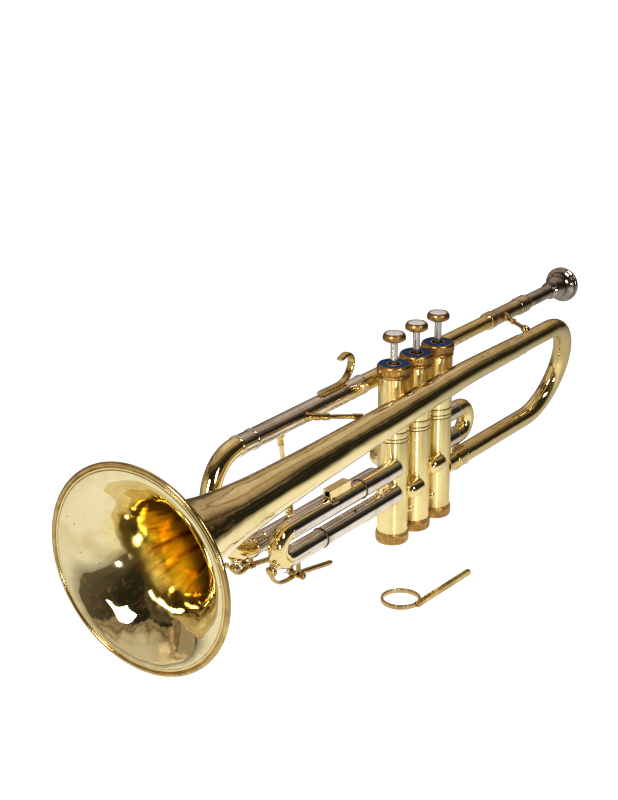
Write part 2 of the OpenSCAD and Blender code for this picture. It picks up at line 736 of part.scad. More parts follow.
third_pivot_y = -151;
third_cup_d = third_bend_r + crook_r + key_reach;
third_cup_y = third_y - third_cup_d * sin(-third_key_angle) - third_pivot_y;
third_cup_z = third_bend_r - third_cup_d * cos(third_key_angle) - third_pivot_z;

module at_third_key() {
    translate([third_x, third_pivot_y, third_low_z + third_pivot_z]) children();
}

module third_key_lever() color(GOLD) at_third_key()
    key_lever(third_cup_y, third_cup_z, third_key_angle, 38.4, -7.5);
module third_key_cork() color(CORK) at_third_key() key_cork(third_cup_y, third_cup_z, third_key_angle);
module third_key_spring() color(GOLD) at_third_key() key_spring();
module third_key_screw() color(AGED) at_third_key() key_screw(2.4);

// ---------------------------------------------------------------- third slide

module third_outer_tubes() color(NICKEL) difference() {
    for (leg = [[third_z, third_ring_upper_y], [third_low_z, third_ring_lower_y]])
        translate([third_x, 0, leg[0]]) difference() {
            union() {
                rod_y(leg[1], third_end_y, outer_r - 0.1);
                translate([0, third_end_y, 0]) sphere(r = outer_r - 0.1);
            }
            rod_y(leg[1] - 1, third_end_y, slide_bore_r);
        }
    all_casings();
}

module third_crook() color(GOLD) translate([third_x, 0, third_z]) {
    difference() {
        union() {
            translate([0, third_y, 0]) half_turn(third_bend_r, crook_r, bore_r, -1);
            tube_y(third_y, third_front_y, crook_r, bore_r);
            translate([0, 0, -2 * third_bend_r]) tube_y(third_y, third_front_y, crook_r, bore_r);
            difference() {
                key_seat(third_y, -third_bend_r, third_key_angle, third_bend_r + crook_r);
                translate([0, third_y, -third_bend_r]) rotate([0, 90, 0]) rotate_extrude()
                    translate([third_bend_r, 0]) circle(r = crook_r - 0.3);
            }
        }
        translate([0, third_y, -third_bend_r]) rotate([third_key_angle, 0, 0])
            translate([0, 0, -third_bend_r - 14]) cylinder(h = 14, r = 1.5);
    }
}

module third_sleeves() color(NICKEL) translate([third_x, 0, third_z]) {
    difference() {
        union() {
            tube_y(third_front_y + 0.02, third_ring_upper_y - 0.1, outer_r - 0.1, sleeve_bore_r);
            bead_y(third_ring_upper_y - 0.1 - bead_w, outer_r - 0.1);
        }
    }
    translate([0, 0, -2 * third_bend_r]) {
        tube_y(third_front_y + 0.02, third_ring_lower_y - 0.1, outer_r - 0.1, sleeve_bore_r);
        bead_y(third_ring_lower_y - 0.1 - bead_w, outer_r - 0.1);
        difference() {
            saddle(third_pivot_y, third_pivot_z);
            rod_y(third_pivot_y - 10, third_pivot_y + 10, outer_r - 0.3);
            translate([-10, third_pivot_y, third_pivot_z]) rotate([0, 90, 0])
                cylinder(h = 20, r = pin_r);
        }
    }
}

module third_inner_tubes() color(NICKEL) translate([third_x, 0, third_z]) {
    tube_y(third_front_y + 0.02, third_ring_upper_y + 36, slide_r, bore_r);
    translate([0, 0, -2 * third_bend_r]) tube_y(third_front_y + 0.02, third_ring_lower_y + 76, slide_r, bore_r);
}

// Square box on the upper sleeve that takes the finger ring's rod
module ring_socket() color(GOLD) translate([third_x, 0, third_z]) difference() {
    rod_w = 3.3;
    box_w = 6.4;
    lift = outer_r + 2.6;
    union() {
        translate([-box_w / 2, -116, lift - box_w / 2]) cube([box_w, 22, box_w]);
        translate([-6.2, -116, lift - 4.6]) cube([12.4, 4, 2]);
    }
    translate([-rod_w / 2 - 0.1, -117, lift - rod_w / 2 - 0.1]) cube([rod_w + 0.2, 24, rod_w + 0.2]);
    rod_y(-130, -80, outer_r - 0.08);
}

ring_at = [54.5, -101, 0];
ring_turn = -2.3;                  // direction of the rod on the table, from +Y towards +X

// The loose ring lies flat on the surface that the trumpet stands on, its rod tangent to the ring
module finger_ring() color(GOLD) translate(ring_at) rotate([0, 0, ring_turn]) {
    ring_outer = 12.8;
    ring_inner = 11;
    rod_w = 3.2;
    rotate_extrude() polygon([[ring_inner, 0.5], [ring_inner + 0.5, 0], [ring_outer - 0.5, 0],
        [ring_outer, 0.5], [ring_outer, 2.4], [ring_outer - 0.5, 2.9], [ring_inner + 0.5, 2.9],
        [ring_inner, 2.4]]);
    difference() {
        translate([ring_inner + 0.2, -1, 0]) cube([rod_w, 60, rod_w]);
        translate([0, 0, -1]) cylinder(h = 6, r = ring_inner + 0.1);
    }
}

// ---------------------------------------------------------------- first and second slides

module first_outer_tubes() color(NICKEL) difference() {
    for (z = [first_z, first_low_z]) translate([1, 0, z]) {
        tube_y(valve_y(1), first_split_y, outer_r - 0.3, slide_bore_r - 0.25);
        tube_y(first_split_y - bead_w, first_split_y, outer_r + 0.1, slide_bore_r - 0.25);
    }
    all_casings();
}

module first_crook() color(GOLD) translate([1, 0, first_z]) {
    tube_y(first_split_y + 0.1, first_y, outer_r - 0.3, bore_r - 0.25);
    translate([0, first_y, 0]) half_turn(first_bend_r, outer_r - 0.5, bore_r - 0.25, 1);
    translate([0, 0, -2 * first_bend_r])
        tube_y(first_split_y + 0.1, first_y, outer_r - 0.3, bore_r - 0.25);
}

module first_inner_tubes() color(NICKEL) for (z = [first_z, first_low_z]) translate([1, 0, z])
    tube_y(39, first_split_y + 0.08, slide_r - 0.25, bore_r - 0.25);

module along_second() {
    translate([0, 0, second_z]) rotate([0, 0, 90]) children();
}

module second_outer_tubes() color(NICKEL) difference() {
    along_second() for (s = [-1, 1]) translate([s * second_y, 0, 0]) {
        difference() {
            union() {
                rod_y(5, -second_split_x, outer_r - 0.3);
                translate([0, 5, 0]) sphere(r = outer_r - 0.3);
                rod_y(-second_split_x - bead_w, -second_split_x, outer_r + 0.1);
            }
            rod_y(5, -second_split_x + 1, slide_bore_r - 0.25);
        }
    }
    all_casings();
}

module second_crook() color(GOLD) along_second() {
    for (s = [-1, 1]) translate([s * second_y, 0, 0])
        tube_y(-second_split_x + 0.1, -second_split_x + 1.5, outer_r - 0.3, bore_r - 0.25);
    translate([0, -second_split_x + 1.5, 0]) rotate_extrude(angle = 180)
        translate([second_bend_r, 0]) difference() {
            circle(r = outer_r - 0.5);
            circle(r = bore_r - 0.25);
        }
}

module second_inner_tubes() color(NICKEL) along_second() for (s = [-1, 1])
    translate([s * second_y, 0, 0]) tube_y(10.4, -second_split_x + 0.08, slide_r - 0.25, bore_r - 0.25);

casing(1);  // casing_1
casing(2);  // casing_2
casing(3);  // casing_3
top_caps();
bottom_caps();
cap_pads();
valve_guides();
piston_spring(1);  // piston_spring_1
piston_spring(2);  // piston_spring_2
piston_spring(3);  // piston_spring_3
piston(1);  // piston_1
piston(2);  // piston_2
piston(3);  // piston_3
stem(1);  // stem_1
stem(2);  // stem_2
stem(3);  // stem_3
button(1);  // button_1
button(2);  // button_2
button(3);  // button_3
pearl(1);  // pearl_1
pearl(2);  // pearl_2
pearl(3);  // pearl_3
knuckles();
casing_spacers();
bell_flare();
bell_stem();
bell_rim_wire();
bell_bow();
bow_ferrules();
leadpipe();
mouthpiece_receiver();
mouthpiece();
finger_hook();
bell_braces();
slide_braces();
tuning_outer_upper();
tuning_outer_lower();
tuning_crook();
tuning_ferrules();
tuning_inner_tubes();
tuning_key_lever();
tuning_key_cork();
tuning_key_spring();
tuning_key_screw();
third_outer_tubes();
third_crook();
third_sleeves();
third_inner_tubes();
ring_socket();
third_key_lever();
third_key_cork();
third_key_spring();
third_key_screw();
first_outer_tubes();
first_crook();
first_inner_tubes();
second_outer_tubes();
second_crook();
second_inner_tubes();
finger_ring();
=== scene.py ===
from math import copysign, cos, exp, hypot, pi, radians, sin, sqrt

import bmesh
import bpy
from mathutils import Matrix, Vector


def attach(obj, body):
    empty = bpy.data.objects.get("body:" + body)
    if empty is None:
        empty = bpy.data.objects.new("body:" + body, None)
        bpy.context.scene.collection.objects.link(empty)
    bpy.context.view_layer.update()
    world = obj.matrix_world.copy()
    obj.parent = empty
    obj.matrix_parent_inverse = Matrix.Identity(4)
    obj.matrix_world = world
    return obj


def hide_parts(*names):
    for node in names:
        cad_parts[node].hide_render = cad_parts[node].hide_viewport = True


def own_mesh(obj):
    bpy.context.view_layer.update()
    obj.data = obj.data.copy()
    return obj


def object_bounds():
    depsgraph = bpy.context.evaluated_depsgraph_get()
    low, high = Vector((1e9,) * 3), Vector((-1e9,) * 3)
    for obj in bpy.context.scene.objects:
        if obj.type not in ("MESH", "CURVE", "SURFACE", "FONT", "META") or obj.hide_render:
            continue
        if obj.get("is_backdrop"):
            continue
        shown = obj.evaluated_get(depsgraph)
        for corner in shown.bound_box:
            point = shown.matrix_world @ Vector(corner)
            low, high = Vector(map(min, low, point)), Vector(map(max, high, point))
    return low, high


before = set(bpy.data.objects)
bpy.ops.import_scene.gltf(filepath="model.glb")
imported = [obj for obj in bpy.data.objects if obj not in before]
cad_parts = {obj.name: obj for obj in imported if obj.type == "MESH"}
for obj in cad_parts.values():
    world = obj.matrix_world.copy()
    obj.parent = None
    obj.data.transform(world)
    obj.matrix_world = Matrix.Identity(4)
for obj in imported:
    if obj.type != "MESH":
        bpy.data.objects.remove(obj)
cad_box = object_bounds()
scene = bpy.context.scene
MM = 0.001
X, Y, Z = Vector((1, 0, 0)), Vector((0, 1, 0)), Vector((0, 0, 1))
BLACK, WHITE = (0, 0, 0), (1, 1, 1)


class Graph:
    """Adds and links nodes. An input is a number, a colour, or the output of another node."""

    def __init__(self, owner):
        owner.use_nodes = True
        self.nodes, self.links = owner.node_tree.nodes, owner.node_tree.links

    def put(self, socket, value):
        if isinstance(value, bpy.types.NodeSocket):
            self.links.new(value, socket)
        else:
            socket.default_value = value

    def add(self, kind, inputs=(), **settings):
        node = self.nodes.new("ShaderNode" + kind)
        for key, value in settings.items():
            setattr(node, key, value)
        for key, value in dict(inputs).items():
            self.put(node.inputs[key], value)
        return node

    def noise(self, vector, scale, detail, rough=0.5, distortion=0.0):
        return self.add("TexNoise", {"Vector": vector, "Scale": scale, "Detail": detail, "Roughness": rough,
                                     "Distortion": distortion}).outputs["Fac"]

    def math(self, operation, *values, clamp=False):
        return self.add("Math", enumerate(values), operation=operation, use_clamp=clamp).outputs[0]

    def dot(self, vector, direction):
        return self.add("VectorMath", {0: vector, 1: direction}, operation="DOT_PRODUCT").outputs["Value"]

    def ramp(self, value, stops):
        node = self.add("ValToRGB", {0: value})
        elements = node.color_ramp.elements
        while len(elements) < len(stops):
            elements.new(0.5)
        for item, (position, colour) in zip(elements, stops):
            item.position, item.color = position, (*colour, 1)
        return node.outputs[0]

    def mix(self, factor, a, b, blend="MIX"):
        return self.add("Mix", {"Factor": factor, "A": a, "B": b}, data_type="RGBA",
                        blend_type=blend).outputs["Result"]


# ---- camera, floor and light

def make_camera():
    az, el, roll = (radians(a) for a in (35.573, 20.312, -0.296))
    target, distance = Vector((-87.895, 0, 74.156)) * MM, 1.249884
    back = Vector((sin(az) * cos(el), -cos(az) * cos(el), sin(el)))
    right = (-back).cross(Z).normalized()
    up = right.cross(-back)
    right, up = (right * cos(roll) + up * sin(roll),
                 up * cos(roll) - right * sin(roll))
    data = bpy.data.cameras.new("camera")
    data.sensor_fit, data.sensor_width, data.lens = "HORIZONTAL", 36, 103.70
    data.clip_start, data.clip_end = 0.01, 100
    cam = bpy.data.objects.new("camera", data)
    scene.collection.objects.link(cam)
    turn = Matrix((right, up, back)).transposed().to_4x4()
    cam.matrix_world = Matrix.Translation(target + back * distance) @ turn
    scene.camera = cam


def make_room():
    """What the polished metal reflects: a dark room with a pale ceiling, a window and a bright wall."""
    scene.view_settings.view_transform = "Standard"
    scene.world = bpy.data.worlds.new("room")
    g = Graph(scene.world)
    g.nodes.clear()
    co = g.add("TexCoord").outputs["Generated"]
    clutter = g.math("SUBTRACT", g.noise(co, 4.0, 7, 0.62), 0.5)

    def along(direction, ragged, scale=1.0, offset=0.0):
        """How far the view lies along a direction, with the clutter added for a ragged outline."""
        far = g.math("MULTIPLY_ADD", g.dot(co, direction), scale, offset)
        return g.math("ADD", far, g.math("MULTIPLY", clutter, ragged))

    total = g.ramp(along((-0.40, 0.55, 1.0), 0.14, 0.4, 0.5), [
        (0.0, (0.20, 0.17, 0.13)), (0.40, (0.07, 0.06, 0.04)), (0.50, (0.030, 0.030, 0.022)),
        (0.62, (0.018, 0.020, 0.016)), (0.74, (0.022, 0.022, 0.018)), (0.775, (0.12, 0.10, 0.07)),
        (0.81, (0.05, 0.042, 0.03)), (0.835, (0.16, 0.13, 0.095)), (0.86, (0.38, 0.30, 0.22)),
        (0.90, (0.52, 0.43, 0.34)), (0.915, (0.27, 0.21, 0.15)), (0.935, (0.58, 0.49, 0.40)),
        (1.0, (0.84, 0.76, 0.68))])
    window = g.ramp(along((-0.56, -0.79, 0.25), 0.22), [
        (0.85, BLACK), (0.875, (0.34, 0.27, 0.19)), (0.89, (0.16, 0.09, 0.05)), (0.92, (0.40, 0.34, 0.26)),
        (0.95, (0.62, 0.58, 0.50))])
    wall = g.ramp(along((-0.96, -0.27, 0.05), 0.5), [
        (0.86, BLACK), (0.89, (0.30, 0.22, 0.14)), (0.91, (0.14, 0.08, 0.04)), (0.95, (0.36, 0.30, 0.22))])
    things = g.ramp(g.noise(co, 8.0, 9, 0.66, 0.6), [
        (0.55, BLACK), (0.58, (0.13, 0.05, 0.02)), (0.605, (0.004, 0.006, 0.005)),
        (0.635, (0.04, 0.06, 0.05)), (0.68, (0.32, 0.28, 0.21))])
    for extra in (window, wall, things):
        total = g.mix(1.0, total, extra, "ADD")
    g.add("OutputWorld", {0: g.add("Background", {"Color": total, "Strength": 1.0}).outputs[0]})


def pool_of_light(g):
    """Bright round the trumpet, and dimmer further out and behind it."""
    co = g.add("TexCoord").outputs["Object"]
    squeezed = g.add("VectorMath", {0: co, 1: (1, 0.5, 1)}, operation="MULTIPLY").outputs[0]
    near = g.ramp(g.add("VectorMath", {0: squeezed}, operation="LENGTH").outputs["Value"], [
        (0.12, (1.1, 1.09, 1.05)), (0.24, (0.95, 0.94, 0.90)), (0.32, (0.60, 0.58, 0.54)),
        (0.50, (0.42, 0.40, 0.36)), (0.90, (0.22, 0.20, 0.17))])
    behind = g.ramp(g.dot(co, (-0.58, 0.81, 0)), [
        (0.01, WHITE), (0.10, (0.58, 0.56, 0.52)), (0.28, (0.42, 0.41, 0.38))])
    return g.mix(1.0, near, behind, "MULTIPLY")


def make_stage(name, z, seen, strength, glow, shape, **sizes):
    """A glowing surface that only the camera sees, or that only reflections and light see."""
    me, bm = bpy.data.meshes.new(name), bmesh.new()
    shape(bm, **sizes)
    bm.to_mesh(me)
    bm.free()
    ob = bpy.data.objects.new(name, me)
    scene.collection.objects.link(ob)
    ob.location = (0, -0.03, z)
    mat = bpy.data.materials.new(name)
    g = Graph(mat)
    for key, value in (("Base Color", (*BLACK, 1)), ("Roughness", 1.0), ("Specular IOR Level", 0.0),
                       ("Emission Color", glow(g)), ("Emission Strength", strength)):
        g.put(g.nodes["Principled BSDF"].inputs[key], value)
    me.materials.append(mat)
    ob.visible_camera = seen
    if seen:
        ob.visible_glossy = ob.visible_diffuse = ob.visible_shadow = ob.visible_transmission = False
    ob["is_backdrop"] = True


def make_softbox(name, place, look, size, power):
    data = bpy.data.lights.new(name, "AREA")
    data.shape, data.size, data.size_y = "RECTANGLE", *size
    data.energy = power
    ob = bpy.data.objects.new(name, data)
    scene.collection.objects.link(ob)
    ob.location = place
    ob.visible_camera = False
    ob.rotation_euler = (Vector(place) - Vector(look)).to_track_quat("Z", "Y").to_euler()


def make_studio():
    make_room()
    disc, dome = bmesh.ops.create_circle, bmesh.ops.create_uvsphere
    make_stage("floor", -0.0002, True, 1.3, lambda g: (*WHITE, 1), disc,
               cap_ends=True, segments=96, radius=30)
    make_stage("backdrop", -0.0002, True, 1.3, lambda g: (*WHITE, 1), dome,
               u_segments=64, v_segments=32, radius=8)
    make_stage("floor_glow", -0.0006, False, 1.0, pool_of_light, disc,
               cap_ends=True, segments=96, radius=1.2)
    make_softbox("softbox_left", (0.09, -2.2, 1.45), (0, 0, 0.08), (0.56, 0.9), 28)
    make_softbox("softbox_right", (1.9, -0.5, 1.5), (0, 0, 0.08), (0.5, 0.8), 14)
    make_softbox("softbox_front", (1.65, -1.45, 0.17), (0.02, -0.15, 0.06), (0.13, 0.32), 12)


# ---- materials

SPOT_SCALE, COAT_ROUGHNESS = 700, 0.04
SPECK = (0.16, 0.10, 0.04)
SLOT = {}


def material(name, base, dull, rough=(0.08, 0.22), metallic=1.0, wave=0.0, wave_scale=60, grain=0.0,
             grain_scale=2500, patch=(0.45, 0.75), patch_scale=45, spots=0.0, coat=0.0, aniso=0.0,
             edge=None, specks=0.0, specular=0.5, slot=None):
    """A procedural finish: base and dull colours mixed in patches and spots, roughness and bump
    that follow them, and an optional polish on raised edges. Its slot in the record is its own name
    unless another is given."""
    mat = bpy.data.materials.new(name)
    SLOT[mat.name] = slot or name
    g = Graph(mat)
    co = g.add("TexCoord").outputs["Object"]
    fac = g.ramp(g.noise(co, patch_scale, 4, 0.6), [(patch[0], BLACK), (patch[1], WHITE)])
    if spots:
        dots = g.ramp(g.noise(co, SPOT_SCALE, 3, 0.6), [(0.62, BLACK), (0.70, (spots,) * 3)])
        fac = g.math("ADD", fac, dots, clamp=True)
    if edge:
        pointed = g.add("NewGeometry").outputs["Pointiness"]
        fac = g.math("SUBTRACT", fac, g.ramp(pointed, [(edge[0], BLACK), (edge[1], WHITE)]), clamp=True)
    colour = g.mix(fac, (*base, 1), (*dull, 1))
    if specks:
        cell = g.add("TexVoronoi", {"Vector": co, "Scale": specks}).outputs["Distance"]
        colour = g.mix(g.ramp(cell, [(0.03, (0.7,) * 3), (0.08, BLACK)]), colour, (*SPECK, 1))
    roughness = g.add("MapRange", {"Value": fac, "To Min": rough[0], "To Max": rough[1]}).outputs["Result"]
    inputs = {"Base Color": colour, "Roughness": roughness, "Metallic": metallic, "Coat Weight": coat,
              "Coat Roughness": COAT_ROUGHNESS, "Specular IOR Level": specular}
    for size, scale, detail in ((wave, wave_scale, 2), (grain, grain_scale, 3)):
        if size:
            under = {key: inputs[key] for key in inputs if key == "Normal"}
            height = g.noise(co, scale, detail)
            inputs["Normal"] = g.add("Bump", {"Strength": 1.0, "Distance": size * MM, "Height": height,
                                              **under}).outputs[0]
    if aniso:
        inputs["Anisotropic"], inputs["Anisotropic Rotation"] = aniso, 0.25
        inputs["Tangent"] = g.add("Tangent", direction_type="RADIAL", axis="Z").outputs[0]
    for key, value in inputs.items():
        g.put(g.nodes["Principled BSDF"].inputs[key], value)
    return mat


BRASS = material("lacquered_brass", (0.83, 0.66, 0.31), (0.60, 0.40, 0.12), rough=(0.02, 0.07),
                 wave=0.7, wave_scale=45, grain=0.002, patch=(0.5, 0.85), spots=0.5, coat=0.15,
                 slot="gold_brass")
BELL = material("bell_brass", (0.83, 0.67, 0.33), (0.60, 0.41, 0.13), rough=(0.02, 0.06),
                wave=1.2, wave_scale=30, grain=0.002, patch=(0.5, 0.85), spots=0.5, coat=0.15, specks=150,
                slot="gold_brass")
CASING = material("casing_brass", (0.93, 0.76, 0.35), (0.74, 0.52, 0.17), rough=(0.28, 0.33),
                  wave=0.05, wave_scale=60, grain=0.002, patch=(0.5, 0.85), spots=0.4, aniso=0.92,
                  slot="gold_brass")
AGED = material("aged_brass", (0.52, 0.30, 0.09), (0.24, 0.12, 0.03), rough=(0.24, 0.42), grain=0.03,
                grain_scale=1600, patch=(0.35, 0.7), patch_scale=160, spots=0.6, edge=(0.505, 0.56))
BUTTON = material("button_brass", (0.45, 0.27, 0.09), (0.22, 0.12, 0.04), rough=(0.30, 0.5),
                  grain=0.02, grain_scale=1600, patch=(0.4, 0.7), patch_scale=200, spots=0.5,
                  slot="aged_brass")
NICKEL = material("nickel_silver", (0.74, 0.67, 0.58), (0.46, 0.36, 0.26), rough=(0.03, 0.10),
                  wave=0.5, wave_scale=40, grain=0.002, patch=(0.45, 0.8), spots=0.5)
# Darker brass for the bell's rolled rim, the key saddles and arms, the hook, the bell braces and the loose
# ring. Its darker base colour is painted shade: it stands in for the shadow and dark edges these parts would
# get, which the glowing floor does not cast. Its patches and spots are tarnish.
WORN_AND_SHADED = material("worn_and_shaded_brass", (0.62, 0.46, 0.18), (0.34, 0.21, 0.07), rough=(0.10, 0.24), wave=0.12,
                wave_scale=90, grain=0.006, patch=(0.35, 0.7), patch_scale=110, spots=0.6,
                slot="gold_brass")
RECEIVER = material("receiver_nickel", (0.72, 0.60, 0.42), (0.46, 0.33, 0.17), rough=(0.04, 0.12),
                    wave=0.3, patch=(0.35, 0.7), patch_scale=70, spots=0.5, slot="nickel_silver")
SILVER = material("silver_plate", (0.56, 0.52, 0.46), (0.18, 0.13, 0.09), rough=(0.03, 0.10),
                  wave=0.1, grain=0.003, patch=(0.36, 0.72), patch_scale=90, spots=0.6)
STEEL = material("stem_nickel", (0.78, 0.78, 0.78), (0.5, 0.48, 0.45), rough=(0.12, 0.25),
                 grain=0.003, patch_scale=150, slot="silver_plate")
BEAD = material("dark_bead", (0.16, 0.10, 0.06), (0.08, 0.05, 0.03), rough=(0.2, 0.4), grain=0.01,
                slot="nickel_silver")
PEARL = material("pearl", (0.97, 0.98, 1.0), (0.86, 0.89, 0.93), rough=(0.08, 0.16), metallic=0.0,
                 patch=(0.4, 0.7), patch_scale=260, coat=0.3)
PAD = material("blue_pad", (0.001, 0.045, 0.15), (0.004, 0.07, 0.20), rough=(0.4, 0.6), metallic=0.0,
               grain=0.02, grain_scale=1500, specular=0.05)
CORK = material("cork", (0.42, 0.26, 0.13), (0.22, 0.12, 0.06), rough=(0.7, 0.9), metallic=0.0,
                grain=0.12, grain_scale=1400, patch_scale=600, spots=0.8)
COPPER = material("copper_screw", (0.38, 0.19, 0.07), (0.18, 0.09, 0.03), rough=(0.2, 0.36),
                  grain=0.02, patch_scale=300, spots=0.6, slot="aged_brass")
INNER = material("piston_nickel", (0.62, 0.61, 0.59), (0.45, 0.43, 0.40), rough=(0.25, 0.4),
                 grain=0.004, patch_scale=90)


def bell_inside():
    """Inside of the bell: pale at the mouth, and towards the throat streaks of bright amber, painted bounce
    light for the glow deep inside.
    """
    mat = material("bell_inside", (0.80, 0.69, 0.40), (0.60, 0.45, 0.18), rough=(0.02, 0.06), wave=1.2,
                   wave_scale=30, grain=0.002, patch=(0.5, 0.85), spots=0.6, coat=0.1, specks=110)
    g = Graph(mat)
    pale, smooth = (g.nodes["Principled BSDF"].inputs[key] for key in ("Base Color", "Roughness"))
    co = g.add("TexCoord").outputs["Object"]
    along = g.add("SeparateXYZ", {0: co}).outputs["Y"]
    depth = g.add("MapRange", {"Value": along, "From Min": -0.300, "From Max": -0.262}).outputs["Result"]
    streak = g.noise(g.add("Mapping", {"Vector": co, "Scale": (210, 10, 210)}).outputs[0], 1.0, 4)
    # painted bounce light: amber streaks brighter than the brass stand in for light bouncing deep in the
    # throat
    painted_bounce_amber = g.ramp(streak, [(0.34, (0.45, 0.18, 0.01)), (0.43, (0.88, 0.55, 0.05)),
                            (0.54, (1.0, 0.84, 0.16)), (0.70, (1.0, 0.92, 0.40))])
    g.put(pale, g.mix(depth, pale.links[0].from_socket, painted_bounce_amber))
    g.put(smooth, g.math("MULTIPLY_ADD", depth, 0.17, smooth.links[0].from_socket))
    return mat


BELL_INSIDE = bell_inside()


# ---- mesh building

def rounded(points, size=0.25, steps=3):
    """Round every corner of a profile. A point may carry its own size as a third value.
    A profile that starts away from the axis is closed."""
    pts, closed = [Vector(p[:2]) for p in points], points[0][0] > 0
    n, out = len(pts), []
    for i, p in enumerate(pts):
        r = points[i][2] if len(points[i]) > 2 else size
        if not closed and i in (0, n - 1) or r <= 0:
            out.append(p)
            continue
        a, b = pts[i - 1] - p, pts[(i + 1) % n] - p
        t = min(r, 0.45 * a.length, 0.45 * b.length)
        p0, p2 = p + a.normalized() * t, p + b.normalized() * t
        for k in range(steps + 1):
            f = k / steps
            out.append(p0 * (1 - f) ** 2 + p * 2 * f * (1 - f) + p2 * f * f)
    return [tuple(p) for p in out]


def circle(p, e1, e2, r, segs):
    """Points round p in the plane of two unit vectors."""
    return [p + (e1 * cos(t) + e2 * sin(t)) * r
            for t in (2 * pi * j / segs for j in range(segs))]


def ball(r, step=10):
    """Profile of a ball, as (radius, distance) points."""
    return [(0, -r)] + [(r * cos(radians(t)), r * sin(radians(t)))
                        for t in range(step - 90, 90, step)] + [(0, r)]


class Build:
    """Collects rings of points into one mesh, in millimetres."""

    def __init__(self):
        self.v, self.f = [], []

    def rings(self, rings, loop=False):
        ids = []
        for ring in rings:
            ids.append(list(range(len(self.v), len(self.v) + len(ring))))
            self.v += [tuple(p) for p in ring]
        pairs = list(zip(ids, ids[1:])) + ([(ids[-1], ids[0])] if loop else [])
        for a, b in pairs:
            n = max(len(a), len(b))
            for k in range(n):
                m = (k + 1) % n
                if len(a) == 1:
                    self.f.append((a[0], b[m], b[k]))
                elif len(b) == 1:
                    self.f.append((a[k], a[m], b[0]))
                else:
                    self.f.append((a[k], a[m], b[m], b[k]))
        return self

    def lathe(self, profile, origin, axis, segs=96, closed=None, wobble=None):
        """Turn (radius, distance along axis) points round the axis."""
        closed = profile[0][0] > 0 if closed is None else closed
        axis = Vector(axis).normalized()
        e1 = axis.cross(X if abs(axis.x) < 0.9 else Y).normalized()
        e2 = axis.cross(e1)
        o, rings = Vector(origin), []
        for r, a in profile:
            c = o + axis * a
            if r < 1e-6:
                rings.append([c])
                continue
            ring = []
            for k in range(segs):
                t = 2 * pi * k / segs
                q = r + (wobble(t, r, a) if wobble else 0)
                ring.append(c + (e1 * cos(t) + e2 * sin(t)) * q)
            rings.append(ring)
        return self.rings(rings, loop=closed)

    def tube(self, path, radius, wall=0.5, segs=72, side=X):
        """A tube of given outer radius along a path that lies in the plane across side."""
        outer, inner, n = [], [], len(path)
        side = Vector(side).normalized()
        for k, p in enumerate(path):
            d = (path[min(k + 1, n - 1)] - path[max(k - 1, 0)]).normalized()
            e2 = d.cross(side).normalized()
            e1 = e2.cross(d)
            outer.append(circle(p, e1, e2, radius, segs))
            inner.append(circle(p, e1, e2, radius - wall, segs))
        return self.rings(outer + inner[::-1], loop=True)

    def rod(self, a, b, profile, segs=48):
        """A turned rod from a towards b; the profile is (radius, distance from a)."""
        return self.lathe(profile, a, Vector(b) - Vector(a), segs)

    def plate(self, outline, thickness, place):
        """An outline extruded both ways from its plane, with place mapping (u, v, w) to a point."""
        n, h = len(outline), thickness / 2
        base = len(self.v)
        for w in (-h, h):
            self.v += [tuple(place(u, v, w)) for u, v in outline]
        self.f.append(tuple(base + k for k in range(n)))
        self.f.append(tuple(base + n + k for k in reversed(range(n))))
        for k in range(n):
            m = (k + 1) % n
            self.f.append((base + k, base + n + k, base + n + m, base + m))
        return self

    def done(self, name, body, nodes, mat, sharp=32, bevel=0.0, slot=None):
        """Make the piece: its mesh, finish, edge rounding, body and the CAD nodes it replaces."""
        me = bpy.data.meshes.new(name)
        me.from_pydata([tuple(c * MM for c in p) for p in self.v], [], self.f)
        bm = bmesh.new()
        bm.from_mesh(me)
        bmesh.ops.recalc_face_normals(bm, faces=bm.faces)
        bm.to_mesh(me)
        bm.free()
        me.shade_smooth()
        me.set_sharp_from_angle(angle=radians(sharp))
        me.materials.append(mat)
        ob = bpy.data.objects.new(name, me)
        scene.collection.objects.link(ob)
        if bevel:
            m = ob.modifiers.new("edge", "BEVEL")
            m.width, m.segments, m.limit_method = bevel * MM, 3, "ANGLE"
            m.angle_limit = radians(40)
        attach(ob, body)
        if nodes:
            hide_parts(*nodes)
        slot or SLOT[mat.name]
        return ob


def paint(ob, mat, test):
    """Give a second finish to the faces whose corners, in millimetres, pass a test."""
    ob.data.materials.append(mat)
    for face in ob.data.polygons:
        if test([ob.data.vertices[k].co / MM for k in face.vertices]):
            face.material_index = len(ob.data.materials) - 1


def arc(c, r, a0, a1, n, place):
    """Points on a circle, angles in degrees, with place mapping (u, v) to a point."""
    return [place(c[0] + r * cos(radians(a0 + (a1 - a0) * k / n)),
                  c[1] + r * sin(radians(a0 + (a1 - a0) * k / n))) for k in range(n + 1)]


def line(a, b, n):
    return [Vector(a).lerp(Vector(b), k / n) for k in range(n + 1)]


def joined(*runs):
    """Runs of points as one path; each run starts where the one before it ends."""
    out = []
    for run in runs:
        out += run[1:] if out else run
    return out


def bend_path(place, y, r, turn, steps, start, end, counts):
    """Along one leg from start, round a bend at y, and back to end along the leg 2 r below."""
    return joined(line(place(start, 0), place(y, 0), counts[0]), arc((y, -r), r, 90, turn, steps, place),
                  line(place(y, -2 * r), place(end, -2 * r), counts[1]))


